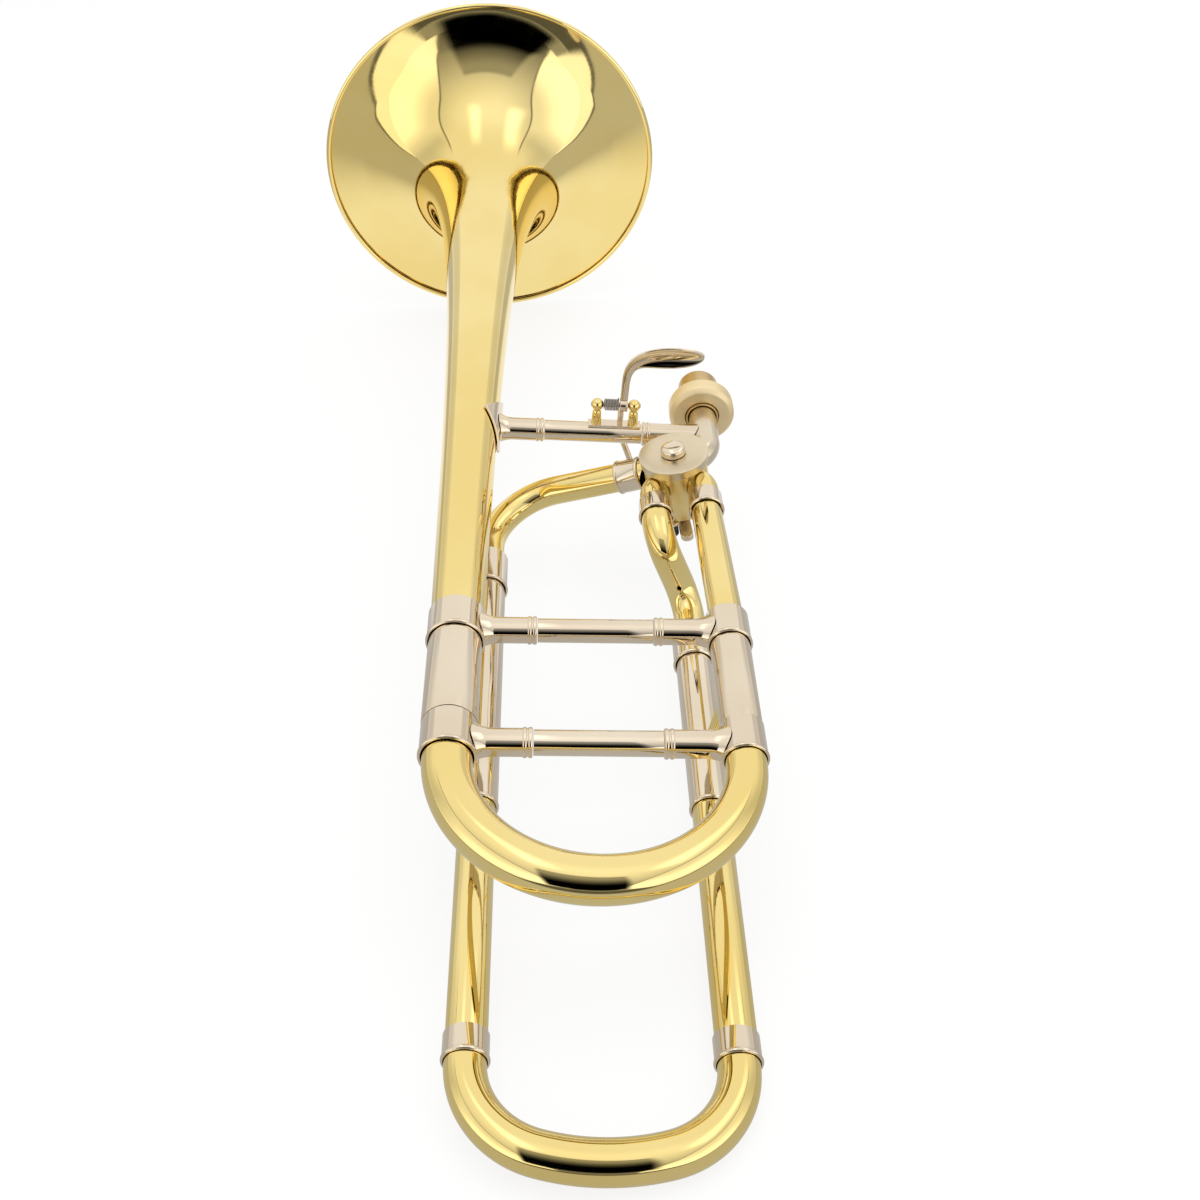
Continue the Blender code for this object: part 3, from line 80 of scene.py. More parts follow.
# The bell is one sheet of yellow brass, hammered and spun to its flare and drawn down to
# the stem, with its edge rolled back over a steel wire. It is polished, then lacquered.
BELL_RADIUS = 0.1062
BELL_OFFSET = 0.0096
BELL_POWER = 0.578
BELL_STEM_END = 0.4620
BELL_STATIONS = 72
STATION_SPREAD = 2.2
FIRST_STATION = 9
BELL_SIDES = 224
FINE = 120
ROUND = 96
BENT = 64
SMALL = 48
SLIM = 40
TINY = 32
FINE_EDGE = 0.0002
WORN_EDGE = 0.0003
SOFT_EDGE = 0.0004
CAST_CORNER = radians(50)
RIM_CURL = 0.0013
CURL_SWEEP = radians(240)
SHEET = 0.0006
GAP = 0.0003
FIT = 0.00045
SHARP = radians(35)
STEEP = radians(60)
SMOOTH_UNDER = radians(48)


def bell_radius(depth):
    """Outer radius of the bell at a depth behind its mouth."""
    return BELL_RADIUS * ((depth + BELL_OFFSET) / BELL_OFFSET) ** -BELL_POWER


def turns(end, count):
    """Angles from 0 to an end, in a count of equal steps."""
    return [end * index / count for index in range(count + 1)]


def outward(work):
    """Let every face of a shaped piece look out of it."""
    bmesh.ops.recalc_face_normals(work, faces=work.faces)
    return work


def turn_on_lathe(profile, sides):
    """Spin (radius, height) points once round Z; a profile from axis to axis stays open."""
    work = bmesh.new()
    points = [work.verts.new((radius, 0.0, height)) for radius, height in profile]
    lines = [work.edges.new(pair) for pair in zip(points, points[1:])]
    if profile[0][0] > 0:
        lines.append(work.edges.new((points[-1], points[0])))
    bmesh.ops.spin(work, geom=points + lines, cent=(0, 0, 0), axis=(0, 0, 1), angle=tau, steps=sides,
                   use_merge=True)
    bmesh.ops.remove_doubles(work, verts=work.verts, dist=0.0000005)
    return outward(work)


def break_edges(work, width, corner=SHARP):
    """Round off the corners that a file or a buffing wheel would soften."""
    sharp = [edge for edge in work.edges if edge.is_manifold and edge.calc_face_angle() > corner]
    bmesh.ops.bevel(work, geom=sharp, affect="EDGES", offset=width, offset_type="OFFSET", segments=3,
                    profile=0.5, material=-1, clamp_overlap=True)


def new_object(name, work, finish):
    """A shaped piece as an object of the scene, in its finish."""
    mesh = bpy.data.meshes.new(name)
    work.to_mesh(mesh)
    work.free()
    mesh.materials.append(finish)
    piece = bpy.data.objects.new(name, mesh)
    bpy.context.scene.collection.objects.link(piece)
    return piece


def finish_piece(name, work, place, finish, body, *nodes):
    """Lay a shaped piece down on the horn, in its finish, on the body it rides with."""
    bmesh.ops.transform(work, matrix=LYING @ place, verts=work.verts)
    piece = new_object(name, work, finish)
    piece.data.shade_smooth()
    piece.data.set_sharp_from_angle(angle=SMOOTH_UNDER)
    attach(piece, body)
    # Where the frame has a material of the same name, the finish carries a number behind a dot
    if nodes:
        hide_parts(*nodes)
    return piece


def turned_piece(name, profile, sides, edge, place, finish, body, *nodes, corner=SHARP):
    """Turn a piece on the lathe, break its edges and lay it down."""
    work = turn_on_lathe(profile, sides)
    break_edges(work, edge, corner)
    finish_piece(name, work, place, finish, body, *nodes)


def refinish(node, finish):
    """Give a node that is carried over from the solids a finish of its own."""
    finishes = frame["nodes"][node].data.materials
    finishes.clear()
    finishes.append(finish)


def fill(node, inputs):
    """Fill inputs of a shader node: an output socket is linked, anything else is the value."""
    for name, value in inputs.items():
        if isinstance(value, bpy.types.NodeSocket):
            node.id_data.links.new(value, node.inputs[name])
        else:
            node.inputs[name].default_value = value
    return node


def add_node(tree, kind, inputs, **settings):
    """A new shader node of a kind, with its settings and its inputs."""
    node = tree.nodes.new("ShaderNode" + kind)
    for setting, value in settings.items():
        setattr(node, setting, value)
    return fill(node, inputs)


def new_finish(name):
    """An empty material, its node tree, and the spot on the horn that its textures go by."""
    material = bpy.data.materials.new(name)
    material.use_nodes = True
    tree = material.node_tree
    return material, tree, add_node(tree, "TexCoord", {}).outputs["Object"]


def noise(tree, spot, scale, detail, distortion=0.0):
    inputs = {"Vector": spot, "Scale": scale, "Detail": detail, "Distortion": distortion}
    return add_node(tree, "TexNoise", inputs).outputs["Fac"]


def tint_of(tree, source, dark, light, low=0.0, high=1.0):
    """Colours from dark to light as a texture's value rises from low to high."""
    ramp = add_node(tree, "ValToRGB", {"Fac": source})
    for element, position, colour in zip(ramp.color_ramp.elements, (low, high), (dark, light)):
        element.position = position
        element.color = (*colour, 1.0)
    return ramp.outputs["Color"]


def coat(tree, metallic, colour, roughness, relief, strength, depth):
    """Join colour, gloss and a relief of a stated depth to the material's shader."""
    bump = add_node(tree, "Bump", {"Height": relief, "Strength": strength, "Distance": depth})
    fill(tree.nodes["Principled BSDF"], {
        "Metallic": metallic, "Base Color": colour, "Roughness": roughness, "Normal": bump.outputs["Normal"],
    })


def polished_metal(name, colour, shade, gloss, smear, ripple):
    """Buffed metal: a slow drift of colour, wiping smears in the gloss, faint ripples."""
    material, tree, spot = new_finish(name)
    drift = tint_of(tree, noise(tree, spot, 14.0, 3.0), shade, colour, 0.35, 0.65)
    wiped = add_node(tree, "MapRange", {
        "Value": noise(tree, spot, 90.0, 6.0, 0.6),
        "From Min": 0.4, "From Max": 0.75, "To Min": gloss, "To Max": gloss + smear,
    }).outputs["Result"]
    coat(tree, 1.0, drift, wiped, noise(tree, spot, 45.0, 1.0), 1.0, ripple)
    return material


lacquered_brass = polished_metal(
    "lacquered_brass", (0.93, 0.75, 0.32), (0.88, 0.68, 0.25), 0.030, 0.035, 0.00004
)
spring_steel = polished_metal("spring_steel", (0.42, 0.38, 0.33), (0.30, 0.27, 0.23), 0.26, 0.12, 0.00002)

depths = [BELL_STEM_END * (index / BELL_STATIONS) ** STATION_SPREAD for index in range(BELL_STATIONS + 1)]
curl_start = pi - atan2(BELL_POWER * BELL_RADIUS, BELL_OFFSET)
curl_middle = (BELL_RADIUS - RIM_CURL * cos(curl_start), -RIM_CURL * sin(curl_start))


def curl(radius, share):
    """A point on the rolled edge, from the flare round to where the roll ends."""
    turn = curl_start - CURL_SWEEP * share
    return (curl_middle[0] + radius * cos(turn), curl_middle[1] + radius * sin(turn))


bell_back = [(bell_radius(depth), -depth) for depth in depths[FIRST_STATION:]]
bell_front = []
for depth in reversed(depths[FIRST_STATION:]):
    lean = atan2(BELL_POWER * bell_radius(depth), depth + BELL_OFFSET)
    bell_front.append((bell_radius(depth) - SHEET * cos(lean), -depth + SHEET * sin(lean)))
bell_outside = [curl(RIM_CURL + SHEET / 2, index / 24) for index in range(25)]
bell_inside = [curl(RIM_CURL - SHEET / 2, 1 - index / 16) for index in range(17)]
bell = turn_on_lathe(bell_back + bell_front + bell_outside + bell_inside, BELL_SIDES)
finish_piece("brass_bell", bell, ALONG_Y, lacquered_brass, "horn", "bell")
refinish("bell_rim_wire", spring_steel)

# Ferrules and outer sleeves of the main tuning slide: nickel silver tube, soldered over
# the ends of the stem and the gooseneck, each ferrule with one bead turned at its mouth.
LOOP_WIDTH = 0.1152
STEM_FERRULE_TOP = -0.4538
STEM_FERRULE_LENGTH = 0.0170
SLEEVE_END = -0.5182
BELL_SLEEVE_RADIUS = 0.01140
NECK_SLEEVE_RADIUS = 0.0085
GOOSENECK_RADIUS = 0.0071
GOOSENECK_END_RADIUS = 0.0074
FERRULE_WALL = 0.00045
BEAD_RISE = 0.00045
BEAD_HALF = 0.0008
BEAD_SET = BEAD_HALF * 1.1
TUBE_EDGE = 0.00016
FERRULE_SIDES = 72
nickel_silver = polished_metal(
    "nickel_silver", (0.84, 0.73, 0.57), (0.76, 0.64, 0.48), 0.035, 0.04, 0.00002
)


def bead_points(radius, height):
    """A half-round ring standing out of a turned tube."""
    return [(radius + BEAD_RISE * sin(turn), height + BEAD_HALF * cos(turn)) for turn in turns(pi, 8)]


def sleeve_points(outer, inner, top, bottom, beads=(), lower_inner=None):
    """Outline of a tube wall, with half-round beads and a stepped lower bore."""
    outline = [(outer, top)]
    for height in beads:
        outline += [point for point in bead_points(outer, height) if bottom < point[1] < top]
    outline.append((outer, bottom))
    if lower_inner is None:
        outline.append((inner, bottom))
    else:
        step = (top + bottom) / 2
        outline += [(lower_inner, bottom), (lower_inner, step), (inner, step)]
    return outline + [(inner, top)]


def ferrule_along_y(node, outer, inner, top, length, body, x, z=0.0, lower_inner=None):
    bottom = top - length
    outline = sleeve_points(outer, inner, top, bottom, (bottom + BEAD_SET,), lower_inner)
    turned_piece("nickel_" + node, outline, FERRULE_SIDES, TUBE_EDGE, at(x, 0, z) @ ALONG_Y, nickel_silver,
                 body, node, corner=STEEP)


def tube_along_y(node, outer, inner, top, bottom, body, x, z=0.0, beads=()):
    outline = sleeve_points(outer, inner, top, bottom, beads)
    turned_piece("drawn_" + node, outline, FERRULE_SIDES, TUBE_EDGE, at(x, 0, z) @ ALONG_Y, nickel_silver,
                 body, node, corner=STEEP)


stem_inner = bell_radius(-STEM_FERRULE_TOP) + FIT
stem_ferrule_radius = max(stem_inner, BELL_SLEEVE_RADIUS + GAP) + FERRULE_WALL
neck_fit = NECK_SLEEVE_RADIUS + GAP
neck_ferrule_radius = neck_fit + FERRULE_WALL
ferrule_along_y("bell_stem_ferrule", stem_ferrule_radius, stem_inner,
                STEM_FERRULE_TOP, STEM_FERRULE_LENGTH, "horn", 0.0)
ferrule_along_y("gooseneck_ferrule", neck_ferrule_radius, GOOSENECK_END_RADIUS + FIT,
                STEM_FERRULE_TOP, STEM_FERRULE_LENGTH, "horn", LOOP_WIDTH, 0.0, neck_fit)
stem_ferrule_middle = STEM_FERRULE_TOP - STEM_FERRULE_LENGTH / 2
for side, x, sleeve in (("bell", 0.0, BELL_SLEEVE_RADIUS), ("gooseneck", LOOP_WIDTH, NECK_SLEEVE_RADIUS)):
    tube_along_y(side + "_side_sleeve", sleeve, sleeve - SHEET, stem_ferrule_middle - GAP, SLEEVE_END,
                 "horn", x)

# The main tuning slide: two nickel silver inner legs that slip in the sleeves, a ferrule
# at each end of a brass crook, which is bent from tapered tube and widens to the bell side.
CROOK_FERRULE_LENGTH = 0.0173
INNER_LEG_LENGTH = 0.058
CROOK_BELL_RADIUS = 0.0101
CROOK_NECK_RADIUS = 0.0080
BEND_STEP = radians(4)


def bent_route(corners, bends):
    """Points of a tube's centre line: straight runs, with an arc at each inner corner."""
    corners = [Vector(corner) for corner in corners]
    points = [corners[0]]
    for before, corner, after, bend in zip(corners, corners[1:], corners[2:], bends):
        arrive = (corner - before).normalized()
        leave = (after - corner).normalized()
        turn = arrive.angle(leave)
        start = corner - arrive * bend * tan(turn / 2)
        centre = start + (leave - arrive * cos(turn)).normalized() * bend
        axis = arrive.cross(leave).normalized()
        for part in turns(turn, max(4, ceil(turn / BEND_STEP))):
            points.append(centre + Matrix.Rotation(part, 3, axis) @ (start - centre))
    points.append(corners[-1])
    return points


def verts_in(geom):
    return [item for item in geom if isinstance(item, bmesh.types.BMVert)]


def draw_skin(route, radius, sides, far_radius=None, capped=False):
    """Draw the outside of a round tube: a ring is extruded, moved on, turned and scaled."""
    steps = [after - before for before, after in zip(route, route[1:])]
    whole = sum(step.length for step in steps)
    ways = [steps[0].normalized()]
    ways += [(a.normalized() + b.normalized()).normalized() for a, b in zip(steps, steps[1:])]
    ways.append(steps[-1].normalized())
    work = bmesh.new()
    start = facing(route[0], ways[0])
    bmesh.ops.create_circle(work, cap_ends=capped, radius=radius, segments=sides, matrix=start)
    ring = work.edges[:]
    gone = 0.0
    size = radius
    for index, step in enumerate(steps):
        gone += step.length
        new_size = radius + ((far_radius or radius) - radius) * gone / whole
        drawn = bmesh.ops.extrude_edge_only(work, edges=ring)["geom"]
        ring = [item for item in drawn if isinstance(item, bmesh.types.BMEdge)]
        turn = ways[index].rotation_difference(ways[index + 1]).to_matrix().to_4x4()
        grow = Matrix.Scale(new_size / size, 4)
        move = Matrix.Translation(route[index + 1]) @ grow @ turn @ Matrix.Translation(-route[index])
        bmesh.ops.transform(work, matrix=move, verts=verts_in(drawn))
        size = new_size
    if capped:
        bmesh.ops.contextual_create(work, geom=ring)
    return outward(work)


def give_wall(work, wall):
    """Thicken an open skin, inwards where the wall is positive."""
    bmesh.ops.solidify(work, geom=work.faces[:], thickness=wall)
    return outward(work)


def brass_tube(node, body, route, radius, far_radius=None, sides=BENT):
    """A brass tube drawn to its size and bent along a route."""
    work = give_wall(draw_skin(route, radius, sides, far_radius), SHEET)
    finish_piece("brass_" + node, work, Matrix(), lacquered_brass, body, node)


def crook_ferrule_radius(sleeve, crook):
    return max(sleeve - SHEET, crook + FIT) + FERRULE_WALL


crook_join = SLEEVE_END - GAP
crook_ferrule_middle = crook_join - CROOK_FERRULE_LENGTH / 2
leg_end = crook_ferrule_middle + GAP
for side, x, sleeve, crook in (
    ("bell", 0.0, BELL_SLEEVE_RADIUS, CROOK_BELL_RADIUS),
    ("gooseneck", LOOP_WIDTH, NECK_SLEEVE_RADIUS, CROOK_NECK_RADIUS),
):
    leg = sleeve - SHEET - FIT
    tube_along_y(side + "_side_inner_leg", leg, leg - SHEET, leg_end + INNER_LEG_LENGTH, leg_end,
                 "main_tuning_slide", x)
    ferrule_along_y(side + "_side_crook_ferrule", crook_ferrule_radius(sleeve, crook), leg + GAP,
                    crook_join, CROOK_FERRULE_LENGTH, "main_tuning_slide", x, 0.0, crook + FIT)
arc_top = crook_join - CROOK_FERRULE_LENGTH
half_width = LOOP_WIDTH / 2
crook_top = leg_end - 2 * GAP
crook_route = [Vector((0.0, crook_top, 0.0))]
for turn in turns(pi, 90):
    crook_route.append(Vector((half_width - half_width * cos(turn), arc_top - half_width * sin(turn), 0.0)))
crook_route.append(Vector((LOOP_WIDTH, crook_top, 0.0)))
brass_tube("main_tuning_crook", "main_tuning_slide", crook_route,
           CROOK_BELL_RADIUS, CROOK_NECK_RADIUS, ROUND)

# Three nickel silver braces: a drawn tube between two turned sockets, each with two rings
# at its collar and a trumpet foot that is filed to the tube it is soldered on.
BRACE_SOCKET = 0.0056
BRACE_TUBE = 0.0051
BRACE_FLARE = 0.0074
BRACE_SIDES = 56
UPPER_BRACE_Y = -0.3110
UPPER_COLLARS = (0.0368, 0.0860)
MIDDLE_COLLARS = (0.0342, 0.0835)
LOWER_COLLARS = (0.0329, 0.0841)
COLLAR_STEP = 0.0022
FOOT_LENGTH = 0.0062
FOOT_CURVE = 2.6
FOOT_RINGS = (0.75, 0.5, 0.25, 0.0)
VALVE = Vector((0.1019, -0.3390, -0.0070))
VALVE_LEAN = radians(-10)
NECKPIPE_X = 0.1180
NECKPIPE_RADIUS = 0.0069
FLANGE_THICKNESS = 0.0011


def port_height(x):
    """Height of a valve port's tube at X, in the plane square to the leaning shaft."""
    return VALVE.z - tan(VALVE_LEAN) * (x - VALVE.x)


def file_to_tube(work, height, fade, tube_radius, cone=0.0):
    """Bend the end of a turned piece at a height along Z round a tube that lies along Y."""
    for vert in work.verts:
        share = max(0.0, 1.0 - abs(vert.co.z - height) / abs(fade))
        radius = tube_radius + cone * vert.co.y
        drop = tube_radius - sqrt(max(radius ** 2 - vert.co.x ** 2, 0.0))
        vert.co.z += copysign(drop * share, fade)


def brace_socket(node, body, collar, seat, flare, place, tube_radius, cone=0.0):
    """Turn a brace end from its collar to its trumpet foot, and file the foot to a tube."""
    sign = 1.0 if collar > seat else -1.0
    outline = [(0.0, collar), (BRACE_SOCKET, collar)]
    for step in range(2):
        centre = BEAD_SET + COLLAR_STEP * step
        ring = bead_points(BRACE_SOCKET, 0.0)
        outline += [(radius, collar - sign * (centre - height)) for radius, height in ring]
    for index in range(11):
        outline.append((BRACE_SOCKET + (flare - BRACE_SOCKET) * (index / 10) ** FOOT_CURVE,
                        seat + sign * FOOT_LENGTH * (1 - index / 10)))
    outline += [(flare * share, seat) for share in FOOT_RINGS]
    work = turn_on_lathe(outline, BRACE_SIDES)
    file_to_tube(work, seat, -sign * FOOT_LENGTH, tube_radius, cone)
    finish_piece("turned_" + node, outward(work), place @ ALONG_X, nickel_silver, body, node)


def rod_points(radius, top, bottom):
    """Outline of a solid round rod."""
    return [(0.0, top), (radius, top), (radius, bottom), (0.0, bottom)]


brace_drop = atan2(-port_height(NECKPIPE_X), NECKPIPE_X)
UPPER_PLACE = at(0, UPPER_BRACE_Y, 0) @ Matrix.Rotation(brace_drop, 4, "Y")
MIDDLE_PLACE = at(0, stem_ferrule_middle, 0)
LOWER_PLACE = at(0, crook_ferrule_middle, 0)
flange_back = bell_radius(-UPPER_BRACE_Y) + GAP * 2.6 + FLANGE_THICKNESS
flange_slope = (bell_radius(-UPPER_BRACE_Y - 0.01) - bell_radius(-UPPER_BRACE_Y + 0.01)) / 0.02
neck_reach = hypot(NECKPIPE_X, port_height(NECKPIPE_X))
brace_socket("upper_brace_left_socket", "horn", UPPER_COLLARS[0], flange_back, BRACE_FLARE,
             UPPER_PLACE, flange_back, flange_slope)
brace_socket("upper_brace_right_socket", "horn", UPPER_COLLARS[1], neck_reach - NECKPIPE_RADIUS - GAP,
             NECKPIPE_RADIUS * 0.88, UPPER_PLACE, NECKPIPE_RADIUS + GAP)
for name, body, place, collars, bell_side, neck_side in (
    ("middle", "horn", MIDDLE_PLACE, MIDDLE_COLLARS, stem_ferrule_radius, neck_ferrule_radius),
    ("lower", "main_tuning_slide", LOWER_PLACE, LOWER_COLLARS,
     crook_ferrule_radius(BELL_SLEEVE_RADIUS, CROOK_BELL_RADIUS),
     crook_ferrule_radius(NECK_SLEEVE_RADIUS, CROOK_NECK_RADIUS)),
):
    brace_socket(name + "_brace_left_socket", body, collars[0], bell_side + GAP, BRACE_FLARE,
                 place, bell_side + GAP)
    brace_socket(name + "_brace_right_socket", body, collars[1], LOOP_WIDTH - neck_side - GAP, BRACE_FLARE,
                 place, neck_side + GAP)
for node, body, place, collars in (
    ("upper_brace_tube", "horn", UPPER_PLACE, UPPER_COLLARS),
    ("middle_brace_tube", "horn", MIDDLE_PLACE, MIDDLE_COLLARS),
    ("lower_brace_tube", "main_tuning_slide", LOWER_PLACE, LOWER_COLLARS),
):
    outline = rod_points(BRACE_TUBE, collars[1] - GAP, collars[0] + GAP)
    turned_piece("drawn_" + node, outline, BRACE_SIDES, TUBE_EDGE, place @ ALONG_X, nickel_silver, body, node)

# The flange under the upper brace: a diamond cut from nickel silver sheet, curved to the
# stem of the bell and soldered there, so that the thin brass doesn't tear at the brace.
FLANGE_LENGTH = 0.044
FLANGE_WIDTH = 0.031
FLANGE_CELLS = 20


def face_outward(work, axis):
    """Turn the faces of a sheet so that together they look along an axis (0, 1 or 2)."""
    outward(work)
    if sum(face.normal[axis] for face in work.faces) < 0:
        bmesh.ops.reverse_faces(work, faces=work.faces)


flange = bmesh.new()
bmesh.ops.create_grid(flange, x_segments=FLANGE_CELLS, y_segments=FLANGE_CELLS, size=1.0)
for vert in flange.verts:
    y = UPPER_BRACE_Y + (vert.co.x + vert.co.y) / 2 * FLANGE_LENGTH / 2
    across = (vert.co.y - vert.co.x) / 2 * FLANGE_WIDTH / 2
    radius = bell_radius(-y) + GAP * 1.6
    vert.co = (radius * cos(across / radius), y, radius * sin(across / radius))
face_outward(flange, 0)
give_wall(flange, -FLANGE_THICKNESS)
break_edges(flange, WORN_EDGE)
finish_piece("nickel_bell_flange", flange, Matrix(), nickel_silver, "horn", "bell_flange")

# The rotary valve: a brass casing with its screw cap of nickel silver, faced on the lathe
# to a satin, and a bright domed boss over the upper bearing. Plate and rotor sit inside.
CASING_RADIUS = 0.0155
CASING_WALL = 0.0020
CASING_TOP = 0.0095
CASING_BOTTOM = -0.0180
CASING_FLOOR = 0.0030
CASING_EDGE = 0.0005
CAP_ROUNDING = 0.00022
CAP_RADIUS = 0.0170
CAP_TOP = 0.0124
CAP_PLATE = 0.0020
CAP_EDGE = 0.0010
SKIRT_WALL = 0.0008
CAP_SKIRT = 0.0045
CAP_BOSS_RADIUS = 0.0060
CAP_BOSS_NECK = 0.0040
CAP_BOSS_HEIGHT = 0.0046
SHAFT_RADIUS = 0.0028
BOSS_RADIUS = 0.0058
BOSS_LENGTH = 0.0040
VALVE_PLACE = Matrix.Translation(VALVE) @ Matrix.Rotation(VALVE_LEAN, 4, "Y")


def lathe_faced_metal(name, colour, shade, gloss, groove, place):
    """Satin metal as it leaves the lathe: fine rings round its own axis in gloss and relief."""
    material, tree, spot = new_finish(name)
    home = (LYING @ place).inverted()
    own = add_node(tree, "Mapping", {"Vector": spot, "Location": home.translation, "Rotation": home.to_euler()})
    flat = add_node(tree, "VectorMath", {0: own.outputs["Vector"], 1: (1.0, 1.0, 0.0)}, operation="MULTIPLY")
    reach = add_node(tree, "VectorMath", {0: flat.outputs["Vector"]}, operation="LENGTH").outputs["Value"]
    rings = add_node(tree, "TexNoise", {"W": reach, "Scale": 2600.0, "Detail": 4.0}, noise_dimensions="1D")
    rings = rings.outputs["Fac"]
    cloud = noise(tree, spot, 160.0, 5.0)
    tint = add_node(tree, "Mix", {0: cloud, 6: (*shade, 1.0), 7: (*colour, 1.0)}, data_type="RGBA")
    level = add_node(tree, "MapRange", {"Value": rings, "To Min": gloss - 0.05, "To Max": gloss + 0.12})
    coat(tree, 1.0, tint.outputs[2], level.outputs["Result"], rings, 0.6, groove)
    return material


satin_nickel = lathe_faced_metal(
    "satin_nickel_cap", (0.82, 0.71, 0.52), (0.74, 0.62, 0.43), 0.32, 0.00002, VALVE_PLACE
)
satin_brass = lathe_faced_metal(
    "satin_brass_rotor", (0.82, 0.64, 0.38), (0.74, 0.56, 0.30), 0.36, 0.00002, VALVE_PLACE
)
casing_brass = lathe_faced_metal(
    "satin_brass_casing", (0.96, 0.77, 0.38), (0.90, 0.69, 0.30), 0.34, 0.00001, VALVE_PLACE
)
casing_bore = CASING_RADIUS - CASING_WALL
bearing = SHAFT_RADIUS + GAP
boss_bottom = CASING_BOTTOM - BOSS_LENGTH
casing_floor = CASING_BOTTOM + CASING_FLOOR
turned_piece("brass_valve_casing", [
    (CASING_RADIUS, CASING_TOP),
    (CASING_RADIUS, CASING_BOTTOM),
    (BOSS_RADIUS, CASING_BOTTOM),
    (BOSS_RADIUS, boss_bottom),
    (bearing, boss_bottom),
    (bearing, casing_floor),
    (casing_bore, casing_floor),
    (casing_bore, CASING_TOP),
], ROUND, CASING_EDGE, VALVE_PLACE, casing_brass, "horn", "valve_casing")
cap_under = CAP_TOP - CAP_PLATE
skirt = CASING_RADIUS + GAP
cap_hole = CAP_BOSS_NECK + GAP
turned_piece("satin_valve_cap", [
    (CAP_RADIUS, CAP_TOP),
    (CAP_RADIUS, CAP_TOP - CAP_EDGE),
    (skirt + SKIRT_WALL, CAP_TOP - CAP_EDGE),
    (skirt + SKIRT_WALL, CAP_TOP - CAP_SKIRT),
    (skirt, CAP_TOP - CAP_SKIRT),
    (skirt, cap_under),
    (cap_hole, cap_under),
    (cap_hole, CAP_TOP),
], FINE, CAP_ROUNDING, VALVE_PLACE, satin_nickel, "horn", "valve_cap")
boss_foot = CAP_TOP + GAP
dome = [
    (CAP_BOSS_RADIUS * sin(turn) ** 0.8, boss_foot + CAP_BOSS_HEIGHT * (0.50 + 0.50 * cos(turn)))
    for turn in turns(pi / 2, 16)
]
dome += [(CAP_BOSS_RADIUS, boss_foot), (CAP_BOSS_NECK, boss_foot), (CAP_BOSS_NECK, cap_under), (0.0, cap_under)]
turned_piece("bright_valve_cap_boss", dome, FERRULE_SIDES, FINE_EDGE, VALVE_PLACE, nickel_silver,
             "horn", "valve_cap_boss", corner=STEEP)
refinish("valve_bearing_plate", satin_nickel)
refinish("rotor", satin_brass)

# The valve's ports and their tubes: short brass knuckles brazed into the casing, joined
# by nickel silver ferrules to the gooseneck and the F loop; the neckpipe is nickel silver.
GOOSENECK_X = 0.1139
GOOSENECK_BEND = 0.03
LOOP_PORT_X = 0.0905
KNUCKLE_RADIUS = 0.0072
KNUCKLE_BEND = 0.0140
NECKPIPE_END = -0.2760
PORT_FERRULE_TOP = -0.3612
PORT_FERRULE_LENGTH = 0.0110
PORT_FERRULE_WALL = 0.00045
LOOP_BEND = 0.0150
LOOP_UPPER_CORNER = -0.3870
LOOP_LOWER_CORNER = -0.3910
EASE = 0.0015
F_LEFT = 0.0106
F_RIGHT = 0.1062
F_DROP = -0.0453
F_TOP_FERRULE_LENGTH = 0.0225
F_LEFT_SLEEVE_TOP = -0.3615
F_RIGHT_SLEEVE_TOP = -0.4120
F_PORT_TURN = Vector((0.0895, -0.3310, -0.0118))
F_PORT_BEND = 0.0090
F_PORT_SET = 0.0042
F_PORT_FERRULE_LENGTH = 0.0125
F_CURVE_BEND = 0.030
F_CURVE_Y = -0.3145
PORT_START = 0.0054
PORT_SEAT = CASING_RADIUS - 0.0012


def port_direction(degrees):
    turn = radians(degrees)
    return Matrix.Rotation(VALVE_LEAN, 3, "Y") @ Vector((cos(turn), sin(turn), 0.0))


def knuckle(node, degrees, corners, bend, radius=KNUCKLE_RADIUS, finish=lacquered_brass):
    """A bent port tube, cut square where it enters the wall of the casing."""
    way = port_direction(degrees)
    work = draw_skin(bent_route([VALVE + way * PORT_START] + corners, (bend,)), radius, BENT)
    bmesh.ops.bisect_plane(work, geom=work.verts[:] + work.edges[:] + work.faces[:],
                           plane_co=VALVE + way * PORT_SEAT, plane_no=way, clear_inner=True)
    finish_piece("bent_" + node, give_wall(work, SHEET), Matrix(), finish, "horn", node)


def straight_port(node, degrees, x, end, *looks):
    """A knuckle that turns into a straight run along Y at X; gives the height of that run."""
    direction = port_direction(degrees)
    corner = VALVE + direction * ((x - VALVE.x) / direction.x)
    knuckle(node, degrees, [corner, (x, end, corner.z)], KNUCKLE_BEND, *looks)
    return corner.z


def port_ferrule(node, x, z):
    ferrule_along_y(node, knuckle_fit + PORT_FERRULE_WALL, knuckle_fit, PORT_FERRULE_TOP, PORT_FERRULE_LENGTH,
                    "horn", x, z)


